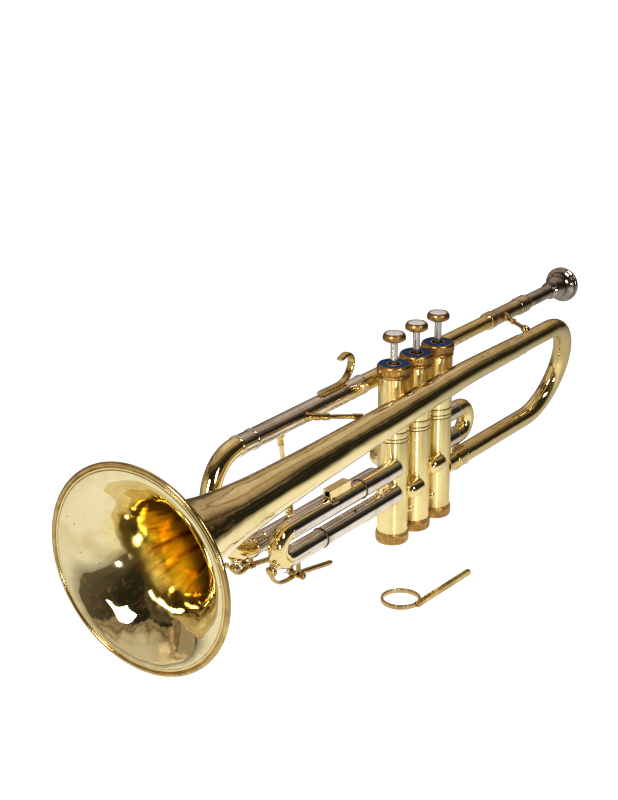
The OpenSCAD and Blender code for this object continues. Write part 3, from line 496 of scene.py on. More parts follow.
def ring_profile(y0, y1, r, inner, bead=0.0, bead_w=1.2, at="end", lip=0.2):
    """Profile of a sleeve from y0 to y1 with an optional bead at its start or end."""
    pts = [(inner, y0, 0), (r, y0, lip)]
    if bead and at in ("start", "both"):
        pts = [(inner, y0, 0), (r + bead, y0, 0.35), (r + bead, y0 + bead_w, 0.35), (r, y0 + bead_w, 0.1)]
    if bead and at in ("end", "both"):
        pts += [(r, y1 - bead_w, 0.1), (r + bead, y1 - bead_w, 0.35), (r + bead, y1, 0.35), (inner, y1, 0)]
    else:
        pts += [(r, y1, lip), (inner, y1, 0)]
    return rounded(pts)


def sleeves(name, body, nodes, mat, runs, r, inner, along=Y, **look):
    """Straight sleeves of one size in one piece; runs are (origin, start, end)."""
    b = Build()
    for origin, start, end in runs:
        b.lathe(ring_profile(start, end, r, inner, **look), origin, along)
    b.done(name, body, nodes, mat)


# ---- the trumpet's measures, in mm

VALVE_Y = {1: 27.2, 2: 0.0, 3: -27.2}
CASING_R, GROOVE = 10.4, 0.4
BELL_X, TAIL_Y, TAIL_Z, BEND_Y, BEND_Z = 21.8, 103.5, 107.6, 30.0, 108.1
MOUTH_Y, MOUTH_Z, RIM_R, RIM_ROLL = -311.3, 94.8, 60.6, 1.3
FLARE_R, FLARE_S, FLARE_POWER, STEM_R, STEM_TAPER, SHEET = 46.8, 44.6, 2.3, 13.8, 0.0175, 0.6
BELL_SEGS, BELL_ROWS = 288, 130
LEAD_X, LEAD_Z, CUP_Y = -19.0, 110.9, 245.2
BOW_Y, BOW_R, BOW_LEAN = 144.5, 36.8, radians(13.7)
TUNE_Y, TUNE_R, TUNE_LEAN = -171.6, 32.2, radians(8.4)
THIRD_X, THIRD_Z, THIRD_R, THIRD_Y = 8.5, 57.8, 9.0, -159.0
TUNE_KEY, THIRD_KEY = (-176.5, -2 * TUNE_R - 9.8), (-151.0, -2 * THIRD_R - 13.6)
TUNE_HOLE, THIRD_HOLE = -24, -53
FIRST_X, FIRST_Z, FIRST_R, FIRST_Y = 1.0, 70.4, 9.75, 55.5
SECOND_X, SECOND_Z, SECOND_R = 20, 48.0, 8


# places along y, and z and x from the upper leg of a slide or the bow, in the plane it leans in
def bow(y, z, x=0.0):
    return Vector((BELL_X + z * sin(BOW_LEAN) + x * cos(BOW_LEAN), y,
                   TAIL_Z + z * cos(BOW_LEAN) - x * sin(BOW_LEAN)))


def tune(y, z, x=0.0):
    return Vector((LEAD_X - z * sin(TUNE_LEAN) + x * cos(TUNE_LEAN), y,
                   LEAD_Z + z * cos(TUNE_LEAN) + x * sin(TUNE_LEAN)))


def third(y, z, x=0.0):
    return Vector((THIRD_X + x, y, THIRD_Z + z))


def first(y, z, x=0.0):
    return Vector((FIRST_X + x, y, FIRST_Z + z))


# ---- bell and bow

def bell_outer(s):
    """Outside radius of the bell by distance from the mouth."""
    if s <= 0:
        return RIM_R + 2.43 * -s
    return FLARE_R * (FLARE_S / (s + FLARE_S)) ** FLARE_POWER + STEM_R - STEM_TAPER * s


def flare_slope(s):
    return FLARE_POWER * FLARE_R / FLARE_S * (FLARE_S / (s + FLARE_S)) ** (FLARE_POWER + 1)


def bell_inner(s):
    return bell_outer(s) - SHEET * sqrt(1 + (flare_slope(s) + STEM_TAPER) ** 2)


# angle, distance from the mouth, spread in angle, spread in distance, depth
DENTS = [(2.2, 9, 0.30, 5, -0.7), (2.75, 13, 0.22, 6, 0.6), (3.4, 8, 0.35, 4, -0.5), (4.1, 12, 0.25, 5, 0.6),
         (4.6, 7, 0.22, 3.5, -0.6), (5.1, 15, 0.30, 7, 0.5), (5.7, 8, 0.28, 4, -0.5), (1.1, 12, 0.3, 6, 0.5),
         (3.0, 40, 0.5, 9, -0.35), (4.4, 48, 0.4, 12, 0.3), (5.9, 62, 0.5, 14, -0.3),
         (1.6, 85, 0.5, 16, -0.25)]


def dent(t, s):
    """How far the bell's sheet is pushed out, by angle round the axis and distance from the mouth."""
    calm = min(1.0, max(0.0, (s - 2.0) / 6.0)) * min(1.0, max(0.0, (330 - s) / 60))
    push = 0.10 * sin(3 * t + 0.03 * s + 0.4) + 0.08 * sin(5 * t - 0.05 * s + 2.1)
    push += 0.06 * sin(8 * t + 0.09 * s) * exp(-s / 60)
    for t0, s0, wt, ws, deep in DENTS:
        d = (t - t0 + pi) % (2 * pi) - pi
        push += deep * exp(-(d / wt) ** 2 - ((s - s0) / ws) ** 2)
    return push * calm


def make_bell():
    mouth, bend = Vector((BELL_X, MOUTH_Y, MOUTH_Z)), Vector((BELL_X, BEND_Y, BEND_Z))
    tail = Vector((BELL_X, TAIL_Y, TAIL_Z))
    length = (bend - mouth).length
    total = length + (tail - bend).length
    u, w = (bend - mouth).normalized(), (tail - bend).normalized()
    ease, start, tail_r = 12, 0.9, 7.3

    def axis(s):
        """Centre line, with the kink at the bend eased on both sides."""
        d = s - length
        if abs(d) < ease:
            f = (d + ease) / (2 * ease)
            p = (mouth + u * (length - ease)).lerp(bend, f).lerp(bend.lerp(bend + w * ease, f), f)
            return p, u.lerp(w, f).normalized()
        return (mouth + u * s, u) if d < 0 else (bend + w * d, w)

    def radius(s):
        if s < length:
            return bell_outer(s)
        r0 = bell_outer(length)
        return r0 + (tail_r - r0) * (s - length) / (total - length)

    def sheet_r(s):
        return bell_inner(s) if s < length else radius(s) - SHEET

    def ring(r, s, dented=True):
        # near the mouth the sheet's stations are drawn forward, to meet the roll of the rim
        p, d = axis(s * (1 - 0.42 * exp(-(s / 4.5) ** 2)) if dented else s)
        e2 = d.cross(X).normalized()
        slope = flare_slope(max(s, 0)) if s < length else 0
        k = sqrt(1 + slope * slope)
        out = []
        for j in range(BELL_SEGS):
            t = 2 * pi * j / BELL_SEGS
            push = dent(t, s) if dented else 0
            out.append(p + d * (push * slope / k) + (X * cos(t) + e2 * sin(t)) * (r + push / k))
        return out

    stations = [start + (total - start) * (k / BELL_ROWS) ** 1.8 for k in range(BELL_ROWS + 1)]
    out = [ring(radius(s), s) for s in stations]
    inn = [ring(sheet_r(s), s) for s in stations]
    roll = [ring(RIM_R + RIM_ROLL * cos(a), RIM_ROLL + RIM_ROLL * sin(a), False)
            for a in (radians(k) for k in range(158, -187, -12))]
    ob = Build().rings(out[::-1] + roll + inn, loop=True).done(
        "bell_skin", "horn", ["bell_flare", "bell_stem"], BELL, sharp=60)
    # the inside of the sheet has its own finish, and the roll of the rim gets the darker brass, painted shade
    # for the dark line along the rim
    ob.data.materials.append(BELL_INSIDE)
    ob.data.materials.append(WORN_AND_SHADED)
    first_roll, first_inside = len(out) * BELL_SEGS, (len(out) + len(roll)) * BELL_SEGS
    for face in ob.data.polygons:
        low = min(face.vertices)
        if low >= first_roll:
            face.material_index = 1 if low >= first_inside else 2


def make_bow():
    end_y, sunk = 37, 1.0
    path = bend_path(bow, BOW_Y, BOW_R, -90, 72, TAIL_Y, end_y, (14, 24))
    side = Vector((cos(BOW_LEAN), 0, -sin(BOW_LEAN)))
    o, r = bow(0, -2 * BOW_R), 6.8
    b = Build().tube(path, r, 0.7, 80, side)
    for k, (x, y, z) in enumerate(b.v):         # the end follows the casing's round wall
        if y < end_y + 0.01:
            b.v[k] = (x, VALVE_Y[1] + sqrt(max((CASING_R - sunk) ** 2 - x * x, 16)), z)
    b.done("bow_tube", "horn", ["bell_bow"], BRASS)
    b = Build().lathe(ring_profile(42.4, 55.4, r + 0.6, r, bead=0.4, bead_w=1.6, at="start"), o, Y)
    b.lathe(ring_profile(53.6, 55.4, r + 0.85, r, lip=0.5), o, Y)
    b.done("bow_ferrule", "horn", ["bow_ferrules"], BRASS)


# ---- valves

def milled(low, high, r_min, count, depth):
    """Milling on the part of a turned shape between two heights and outside a radius."""
    return lambda t, r, a: depth * (abs(sin(t * count)) - 1) if low < a < high and r > r_min else 0


def make_casings():
    bore, low, high, edge = 8.5, 4, 119, 0.12
    for i, y in VALVE_Y.items():
        pts = [(bore, low, 0), (CASING_R, low, 0.3)]
        for z, w in ((73.7, 0.7), (76.1, 0.7), (80.4, 0.8)):
            pts += [(CASING_R, z, edge), (CASING_R - GROOVE, z + edge, 0.1),
                    (CASING_R - GROOVE, z + w - edge, 0.1), (CASING_R, z + w, edge)]
        pts += [(CASING_R, high, 0.3), (bore, high, 0)]
        ob = Build().lathe(rounded(pts), (0, y, 0), Z, 128).done(
            f"casing_shell_{i}", "horn", [f"casing_{i}"], CASING, sharp=40)
        paint(ob, BEAD, lambda corners: 9.5 < min(hypot(c.x, c.y - y) for c in corners) < 10.3)


def make_caps():
    cap, low, pad = Build(), Build(), Build()
    for y in VALVE_Y.values():
        o = (0, y, 0)
        cap.lathe(rounded([(10.43, 117.9, 0.1), (10.95, 117.9, 0.3), (11.0, 119.2, 0.2), (10.7, 119.6, 0.2),
                           (10.9, 120.7, 0.2), (11.35, 121.1, 0.2), (11.35, 121.6, 0.02), (11.35, 123.1, 0),
                           (11.35, 124.6, 0.02), (11.35, 125.1, 0.25), (10.85, 126.2, 0.5),
                           (10.3, 126.7, 0.2), (10.0, 126.7, 0.1), (10.0, 125.2, 0), (5.0, 125.2, 0),
                           (5.0, 126.7, 0.2), (4.1, 126.7, 0.2), (4.1, 123, 0), (8.5, 123, 0),
                           (8.5, 119.05, 0), (10.43, 119.05, 0)]), o, Z, 360,
                  wobble=milled(121.5, 124.7, 11.1, 45, 0.13))
        pad.lathe(rounded([(9.98, 125.1, 0), (9.98, 126.4, 0.6), (9.2, 126.88, 0.8), (5.8, 126.88, 0.8),
                           (5.02, 126.4, 0.6), (5.02, 125.1, 0)], steps=5), o, Z, 96)
        pad.lathe(rounded([(8.2, 121, 0.3), (8.2, 123, 0.1), (2.8, 123, 0.1), (2.8, 121, 0.3)]), o, Z, 64)
        low.lathe(rounded([(0, 0), (9.6, 0, 0.5), (10.9, 0.6, 0.6), (11.3, 2.0, 0.3), (11.35, 2.7, 0.1),
                           (11.35, 3.2, 0.02), (11.35, 4.6, 0), (11.35, 6.1, 0.02), (11.35, 6.6, 0.2),
                           (11.0, 7.1, 0.2), (11.0, 8.1, 0.3), (10.43, 8.2, 0.1), (10.43, 3.98, 0),
                           (9.4, 3.98, 0), (9.4, 2, 0), (0, 2)]), o, Z, 320,
                  wobble=milled(3.1, 6.2, 11.1, 40, 0.12))
    cap.done("top_cap_set", "horn", ["top_caps"], AGED, sharp=40)
    low.done("bottom_cap_set", "horn", ["bottom_caps"], AGED, sharp=40)
    pad.done("pad_set", "horn", ["cap_pads"], PAD, sharp=50)


def make_buttons(t=147.8):
    """Stems, buttons and pearls; t is the height of the pearls' tops with the valves up."""
    for i, y in VALVE_Y.items():
        body, o = f"valve_{i}", (0, y, 0)
        Build().lathe(rounded([(0, 117.4), (2.45, 117.4, 0), (2.45, 119.4, 0), (3.9, 119.4, 0.3),
                               (3.9, 120.9, 0.3), (2.45, 120.9, 0), (2.45, t - 2.6, 0), (0, t - 2.6)]),
                      o, Z, 64).done(f"stem_rod_{i}", body, [f"stem_{i}"], STEEL)
        Build().lathe(rounded([(0, t - 6), (4.6, t - 6, 0.4), (6.2, t - 5.6, 0.6), (7.2, t - 4.8, 0.4),
                               (7.6, t - 4.5, 0.1), (7.7, t - 4.1, 0.05), (7.75, t - 3.3, 0),
                               (7.7, t - 2.5, 0.05), (7.55, t - 2.1, 0.15), (7.1, t - 1.0, 0.5),
                               (6.4, t - 0.25, 0.5), (6.0, t - 0.15, 0.15), (5.9, t - 0.6, 0.05),
                               (5.9, t - 1.4, 0), (0, t - 1.4)]), o, Z, 288,
                      wobble=milled(t - 4.3, t - 2.4, 7.5, 36, 0.1)).done(
            f"button_cap_{i}", body, [f"button_{i}"], BUTTON, sharp=45)
        Build().lathe(rounded([(0, t - 1.38), (5.72, t - 1.38, 0.1), (5.72, t - 0.75, 0.5),
                               (5.2, t - 0.25, 0.8), (3.2, t - 0.02, 1.0), (0, t)], steps=5), o, Z, 96).done(
            f"pearl_disc_{i}", body, [f"pearl_{i}"], PEARL, sharp=60)


def ball_tube(b, centre, along, r, start, end, inner):
    """A tube from start to end along a direction, closed by a ball end that sinks into a casing."""
    cap = [(r * cos(a), end + r * sin(a)) for a in (radians(9 * k) for k in range(1, 9))]
    b.lathe([(inner, end), (inner, start), (r, start), (r, end), *cap, (0, end + r)], centre, along, 80,
            closed=False)


def make_casing_joints():
    b, r, half = Build(), 6.0, 3.4
    turns = [radians(9 * a) for a in range(11)]
    prof = [(0, -half - r)] + [(r * sin(a), -half - r * cos(a)) for a in turns[1:]]
    prof += [(r * cos(a), half + r * sin(a)) for a in turns[:-1]] + [(0, half + r)]
    for z, mid in ((35.5, -13.6), (44.0, 13.6)):
        b.lathe(prof, (8.5, mid, z), Y, 80)
    b.done("knuckle_pair", "horn", ["knuckles"], BRASS, sharp=60)
    b = Build()
    for mid in (-13.6, 13.6):
        for z in (18, 101):
            b.lathe(rounded([(0, -4.95), (2.6, -4.95, 0), (2.6, -3.4, 0.5), (1.9, -2.6, 0.8),
                             (1.7, 0, 0.3), (1.9, 2.6, 0.8), (2.6, 3.4, 0.5), (2.6, 4.95, 0),
                             (0, 4.95)]), (3, mid, z), Y, 48)
    b.done("spacer_studs", "horn", ["casing_spacers"], BRASS)


# ---- leadpipe and mouthpiece

def make_leadpipe():
    o = (LEAD_X, 0, LEAD_Z)
    taper = [(6.02 + (5.2 - 6.02) * k / 8, -37.4 + 175 * k / 8) for k in range(9)]
    Build().lathe([(5.45, -73), (5.95, -73), *taper, (4.4, 137.6)], o, Y, 96).done(
        "leadpipe_tube", "horn", ["leadpipe"], BRASS)
    y0, y1 = 125.6, 183.7
    Build().lathe(rounded([
        (5.3, y0, 0), (6.1, y0, 0.15), (6.5, y0 + 0.7, 0.5), (6.55, y0 + 4, 0.5), (6.5, y0 + 7.6, 0.5),
        (6.1, y0 + 8.4, 0.3), (5.9, y0 + 9.2, 0.5), (5.9, y1 - 14, 0.2), (6.35, y1 - 13.6, 0.2),
        (6.6, y1 - 12.6, 0.2), (6.6, y1 - 11.6, 0.2), (6.4, y1 - 11.2, 0.2), (6.6, y1 - 10.4, 0.3),
        (6.6, y1 - 1.6, 0.4), (6.2, y1, 0.3), (5.36, y1, 0.1), (4.85, y1 - 25.5, 0.1),
        (5.15, y0 + 12.2, 0.1), (5.3, y0 + 12.1, 0)]), o, Y, 96).done(
        "receiver", "horn", ["mouthpiece_receiver"], RECEIVER)


def make_mouthpiece():
    # distances run from the rim towards the shank
    out = [(9.6, 1.0, 0.5), (10.4, 0.25, 0.7), (11.9, 0.05, 1.0), (13.1, 0.9, 1.0), (13.6, 2.4, 0.9),
           (13.5, 4.0, 0.5), (12.5, 4.4, 0.2), (12.2, 4.9, 0.1), (12.4, 5.4, 0.2), (12.2, 6.4, 0.4),
           (11.0, 7.0, 0.3), (9.9, 7.9, 0.5), (9.0, 8.9, 0.5), (8.2, 10.0, 0.4), (7.9, 10.7, 0.1),
           (8.2, 11.5, 0.4), (8.5, 13.0, 0.8), (8.3, 15.0, 1.0), (7.4, 17.3, 1.0), (6.3, 19.2, 0.6),
           (5.6, 20.5, 0.2), (5.9, 21.2, 0.2), (6.8, 21.8, 0.4), (6.8, 22.9, 0.4), (5.9, 23.5, 0.2),
           (5.9, 23.9, 0.1), (6.5, 24.4, 0.3), (6.4, 25.3, 0.3), (5.6, 25.9, 0.3), (5.25, 27.2, 0.8),
           (5.15, 31, 2), (5.2, 45, 0), (5.25, 61.4, 0), (4.78, 86.4, 0.1)]
    ins = [(4.2, 86.4, 0.1), (3.2, 48, 2), (2.2, 24, 2), (1.9, 20.5, 0.5), (1.9, 16.5, 0.5)]
    ins += [(8.6 * sin(radians(a)) + 0.15, 3.2 + 11.6 * cos(radians(a)), 0.4)
            for a in range(14, 88, 9)]
    ob = Build().lathe(rounded(out + ins, steps=4), (LEAD_X, CUP_Y, LEAD_Z), -Y, 128).done(
        "mouthpiece_body", "mouthpiece", ["mouthpiece"], SILVER, sharp=50)

    def in_groove(corners):
        at = CUP_Y - sum(c.y for c in corners) / len(corners)
        off = max(hypot(c.x - LEAD_X, c.z - LEAD_Z) for c in corners)
        return any(y0 < at < y1 and off > r for y0, y1, r in
                   ((4.35, 5.2, 11.5), (9.6, 11.3, 7.6), (23.5, 24.2, 5.5)))
    paint(ob, BEAD, in_groove)                  # dark finish in the turned grooves: painted shade for the dark lines they make


# ---- slides

def bead_rings(name, body, items):
    """Dark rounded bead rings that sit on the sleeves' ends."""
    b = Build()
    for c, y, r in items:
        b.lathe([(r + 0.5 * cos(a), y + 0.8 * sin(a))
                 for a in (radians(24 * k) for k in range(15))], c, Y)
    b.done(name, body, [], BEAD, sharp=80)


def make_tuning():
    up, low = tune(0, 0), tune(0, -2 * TUNE_R)
    Build().lathe(ring_profile(-157, -37.4, 6.5, 6.1, bead=0.45, bead_w=1.6, at="both"), up, Y).done(
        "tuning_outer_top", "horn", ["tuning_outer_upper"], NICKEL)
    b = Build()
    ball_tube(b, low, Y, 6.5, -161, -37.5, 6.1)
    b.lathe(ring_profile(-161, -159.4, 7.0, 6.45, lip=0.4), low, Y)
    b.done("tuning_outer_low", "horn", ["tuning_outer_lower"], NICKEL)
    path = arc((TUNE_Y, -TUNE_R), TUNE_R, 90, 270, 84, tune)
    side = Vector((cos(TUNE_LEAN), 0, sin(TUNE_LEAN)))
    b = Build().tube(path, 6.3, 0.7, 80, side)
    nipple(b, tune, (TUNE_Y, -TUNE_R), TUNE_R + 6.3, TUNE_HOLE)
    b.done("tuning_bend", "tuning_slide", ["tuning_crook"], BRASS)
    b = Build()
    ears(b, tune, TUNE_KEY, 8.3)
    b.done("tuning_key_saddle", "tuning_slide", [], WORN_AND_SHADED, bevel=0.2)
    sleeves("tuning_ferrule_pair", "tuning_slide", ["tuning_ferrules"], NICKEL,
            [(up, TUNE_Y, -157.1), (low, TUNE_Y, -161.1)], 6.5, 6.07, bead=0.5, bead_w=1.6, at="start")
    sleeves("tuning_inner_pair", "tuning_slide", ["tuning_inner_tubes"], NICKEL,
            [(up, TUNE_Y, -75), (low, TUNE_Y, -75)], 6.05, 5.6, lip=0.15)


def nipple(b, place, centre, skin, angle):
    """Water-hole nipple: a short turned collar on a bend's skin."""
    a = radians(angle)
    d = (place(sin(a), -cos(a)) - place(0, 0)).normalized()
    c = place(*centre)
    b.lathe(rounded([(1.5, skin - 0.8, 0), (4.2, skin - 0.8, 0.3), (4.0, skin + 0.5, 0.4),
                     (3.1, skin + 0.9, 0.4), (3.0, skin + 1.9, 0.1), (2.6, skin + 2.55, 0.2),
                     (1.5, skin + 2.55, 0.1)]), c, d, 48)


EAR_GAP = 2.9                   # from the middle of a water key to the middle of an ear


def ears(b, place, pivot, height):
    """Two rounded ears that carry a water key's pivot."""
    (y, z), r = pivot, 2.2
    outline = [(-1.7, height), (-2.1, 3.0), (-r, 0)]
    outline += [(r * cos(a), r * sin(a)) for a in (radians(k) for k in range(180, 361, 18))]
    outline += [(2.1, 3.0), (1.7, height), (3.2, height + 1.2), (-3.2, height + 1.2)]
    for s in (-1, 1):
        b.plate(outline, 1.1, lambda u, v, w: place(y + u, z + v, s * EAR_GAP + w))


def make_third():
    up, low, edge = third(0, 0), third(0, -2 * THIRD_R), -158.78
    b = Build()
    ball_tube(b, up, Y, 6.4, -79, -39.3, 6.1)
    ball_tube(b, low, Y, 6.4, -122.5, -39.3, 6.1)
    b.done("third_outer_pair", "horn", ["third_outer_tubes"], NICKEL)
    path = bend_path(third, THIRD_Y, THIRD_R, 270, 60, -158.8, -158.8, (1, 1))
    b = Build().tube(path, 6.3, 0.7, 80, X)
    nipple(b, third, (THIRD_Y, -THIRD_R), THIRD_R + 6.3, THIRD_HOLE)
    b.done("third_bend", "third_slide", ["third_crook"], BRASS)
    sleeves("third_sleeve_pair", "third_slide", ["third_sleeves"], NICKEL,
            [(up, edge, -79.1), (low, edge, -122.6)], 6.4, 6.07)
    b = Build()
    ears(b, third, THIRD_KEY, 8.2)
    b.done("third_key_saddle", "third_slide", [], WORN_AND_SHADED, bevel=0.2)
    bead_rings("third_beads", "third_slide", [(up, -79.9, 6.4), (low, -123.4, 6.4)])
    sleeves("third_inner_pair", "third_slide", ["third_inner_tubes"], NICKEL,
            [(up, edge, -43), (low, edge, -46.5)], 6.05, 5.6, lip=0.15)
    make_socket()


def make_socket():
    """The loose ring's socket on the third slide: a square box on a curved foot."""
    lift, near, far = 9.1, -94, -116
    rings = []
    for h, ys in ((3.2, (far, near)), (1.75, (near, far))):
        for y in ys:
            rings.append([third(y, lift + v, u) for u, v in ((-h, -h), (h, -h), (h, h), (-h, h))])
    Build().rings(rings, loop=True).done(
        "ring_socket_box", "third_slide", ["ring_socket"], BRASS, sharp=30, bevel=0.35)
    foot = [(-4.6, 5.9), (-6.3, 4.4), (-6.2, 3.9), (-3.2, 6.2), (3.2, 6.2), (6.2, 3.9), (6.3, 4.4),
            (4.6, 5.9), (3.4, 7.0), (-3.4, 7.0)]
    Build().plate(foot, 4, lambda u, v, t: third(-114 + t, v, u)).done(
        "ring_socket_foot", "third_slide", [], BRASS, bevel=0.2)


def key_arm(at, cup):
    """Rings of a key's flat arm, with rounded edges, from the cup in a curve to the barrel."""
    (cy, cz), rows, segs, square = cup, 28, 20, 0.55
    top, dip, end, half_width = cz - 2.0, 3.4, 1.0, 1.75
    rings = []
    for k in range(rows + 1):
        f = k / rows
        u = 1 - f
        y = u * u * cy + 2 * u * f * cy * 0.8
        z = u * u * top - 2 * u * f * dip - f * f * end
        dy = -2 * u * cy + 2 * (u - f) * cy * 0.8
        dz = -2 * u * top - 2 * (u - f) * dip - 2 * f * end
        m = hypot(dy, dz)
        ny, nz = -dz / m, dy / m
        half_height = 0.85 + 0.25 * sin(pi * f)
        ring = []
        for j in range(segs):
            t = 2 * pi * j / segs
            c, s = cos(t), sin(t)
            h = half_height * copysign(abs(s) ** square, s)
            ring.append(at(y + ny * h, z + nz * h, half_width * copysign(abs(c) ** square, c)))
        rings.append(ring)
    return capped(rings)


def water_key(name, body, slide, place, pivot, cup, angle, end, screw_r, extra=None):
    """A lever with its cup, cork, spring windings and pivot screw; places are in the slide's plane."""
    (py, pz), (cy, cz), (ey, ez) = pivot, cup, end

    def at(u, v, w=0.0):
        return place(py + u, pz + v, w)
    a = radians(angle)
    face = (at(-sin(a), cos(a)) - at(0, 0)).normalized()
    side = (at(0, 0, 1) - at(0, 0)).normalized()
    b = Build().rings(key_arm(at, cup))
    b.lathe(rounded([(0.95, -2.2, 0.05), (2.1, -2.2, 0.3), (2.1, 2.2, 0.3), (0.95, 2.2, 0.05)]),
            at(0, 0), side, 48)
    # finger rod with a rounded end
    reach = (at(ey, ez) - at(0.6, -0.6)).length
    b.rod(at(0.6, -0.6), at(ey, ez), rounded([
        (0, 0), (1.5, 0, 0), (1.75, 2.5, 1), (1.8, reach - 1.5, 1), (1.85, reach, 1.2),
        (1.1, reach + 1.7, 1.2), (0, reach + 1.95)], steps=5))
    # cup round the cork
    b.lathe(rounded([(0, -2.2), (1.4, -2.2, 0.4), (2.6, -1.5, 0.8), (3.75, -0.5, 0.8), (3.8, 1.5, 0.3),
                     (3.1, 1.6, 0.2), (3.05, 0.3, 0.1), (0, 0.3)]), at(cy, cz), face, 64)
    if extra:
        extra(b, at)
    b.done(f"{name}_key_arm", body, [f"{name}_key_lever"], WORN_AND_SHADED, sharp=50)
    Build().lathe(rounded([(0, 0.32), (3.0, 0.32, 0.1), (3.0, 2.25, 0.4), (0, 2.32)]), at(cy, cz), face,
                  48).done(f"{name}_key_pad", body, [f"{name}_key_cork"], CORK)
    # windings of the spring beside the saddle, with both ends led out
    r, wire, turns, steps = 1.65, 0.3, 2.5, 24
    coil = [at(r * cos(t), r * sin(t), -3.9 - 0.62 * t / (2 * pi) / 1.2)
            for t in (2 * pi * k / steps for k in range(int(turns * steps) + 1))]
    wire_tube([at(r, -4.5, -3.85), *coil, at(-6.0, 1.2, -5.0)], wire, f"{name}_key_windings", slide,
              f"{name}_key_spring")
    head = EAR_GAP + 0.65 + screw_r
    b = Build().lathe(rounded([(0, -5.1), (0.9, -5.1, 0.2), (0.9, head, 0), (0, head)]), at(0, 0), side, 32)
    b.lathe(ball(screw_r), at(0, 0, head), side, 48)
    b.done(f"{name}_key_pin", slide, [f"{name}_key_screw"], COPPER, sharp=60)


def capped(rings):
    """Rings closed at both ends by their middle points."""
    first_mid, last_mid = (sum(ring, Vector()) / len(ring) for ring in (rings[0], rings[-1]))
    return [[first_mid], *rings, [last_mid]]


def wire_tube(path, r, name, body, node, segs=10):
    rings, up, n = [], None, len(path)
    for k, p in enumerate(path):
        d = (path[min(k + 1, n - 1)] - path[max(k - 1, 0)]).normalized()
        if up is None:
            up = d.cross(X if abs(d.x) < 0.8 else Y).normalized()
        up = (up - d * up.dot(d)).normalized()
        rings.append(circle(p, up, d.cross(up), r, segs))
    b = Build().rings([[path[0]], *rings, [path[-1]]])
    return b.done(name, body, [node], STEEL, sharp=60, slot="spring_steel")


def make_keys():
    def cup_at(centre, bend_r, angle, pivot):
        """Place of the cup from the pivot: over the nipple on the bend's skin."""
        d, a = bend_r + 6.3 + 4.97, radians(angle)
        return centre[0] + d * sin(a) - pivot[0], centre[1] - d * cos(a) - pivot[1]

    def knob(b, at):
        """A little knob beside the tuning key's cup, on its own stalk."""
        cy, cz = cup
        b.rod(at(cy - 2.5, cz + 0.4), at(-19.5, 7.4), [(0, 0), (0.9, 0), (0.9, 6), (0, 6)], 24)
        b.lathe(ball(1.7), at(-19.5, 7.4), X, 32)
    cup = cup_at((TUNE_Y, -TUNE_R), TUNE_R, TUNE_HOLE, TUNE_KEY)
    water_key("tuning", "tuning_water_key", "tuning_slide", tune, TUNE_KEY, cup, TUNE_HOLE, (36.5, -7.0), 1.3,
              knob)
    cup = cup_at((THIRD_Y, -THIRD_R), THIRD_R, THIRD_HOLE, THIRD_KEY)
    water_key("third", "third_water_key", "third_slide", third, THIRD_KEY, cup, THIRD_HOLE, (38.4, -7.5), 2.4)


def make_first():
    up, low, end = first(0, 0), first(0, -2 * FIRST_R), 50.6
    sleeves("first_outer_pair", "horn", ["first_outer_tubes"], NICKEL,
            [(up, 33, 50.5), (low, 33, 50.5)], 6.2, 5.85, bead=0.4, bead_w=1.6)
    path = bend_path(first, FIRST_Y, FIRST_R, -90, 60, end, end, (3, 3))
    b = Build().tube(path, 6.0, 0.65, 80, X)
    for c in (up, low):
        b.lathe(ring_profile(end, FIRST_Y, 6.2, 5.95, lip=0.3), c, Y)
    b.done("first_bend", "first_slide", ["first_crook"], BRASS)
    sleeves("first_inner_pair", "first_slide", ["first_inner_tubes"], NICKEL,
            [(up, 39, 50.58), (low, 39, 50.58)], 5.8, 5.35, lip=0.1)


def make_second():
    def second(u, v):                           # u runs out along -X, v along Y
        return Vector((-u, v, SECOND_Z))
    r, end = SECOND_R, 18.6
    legs = [second(0, -r), second(0, r)]
    b = Build()
    for c in legs:
        ball_tube(b, c, X, 6.2, -18.5, -5, 5.85)
        b.lathe(ring_profile(-18.5, -16.9, 6.6, 6.15, lip=0.3), c, X)
    b.done("second_outer_pair", "horn", ["second_outer_tubes"], NICKEL)
    path = joined(line(second(end, r), second(SECOND_X, r), 2), arc((SECOND_X, 0), r, 90, -90, 60, second),
                  line(second(SECOND_X, -r), second(end, -r), 2))
    b = Build().tube(path, 6.0, 0.65, 72, Z)
    for c in legs:
        b.lathe(ring_profile(-SECOND_X, -end, 6.2, 5.95, lip=0.3), c, X)
    b.done("second_bend", "second_slide", ["second_crook"], BRASS)
    sleeves("second_inner_pair", "second_slide", ["second_inner_tubes"], NICKEL,
            [(c, -18.58, -10.4) for c in legs], 5.8, 5.35, along=X, lip=0.1)


# ---- hook, braces, loose ring

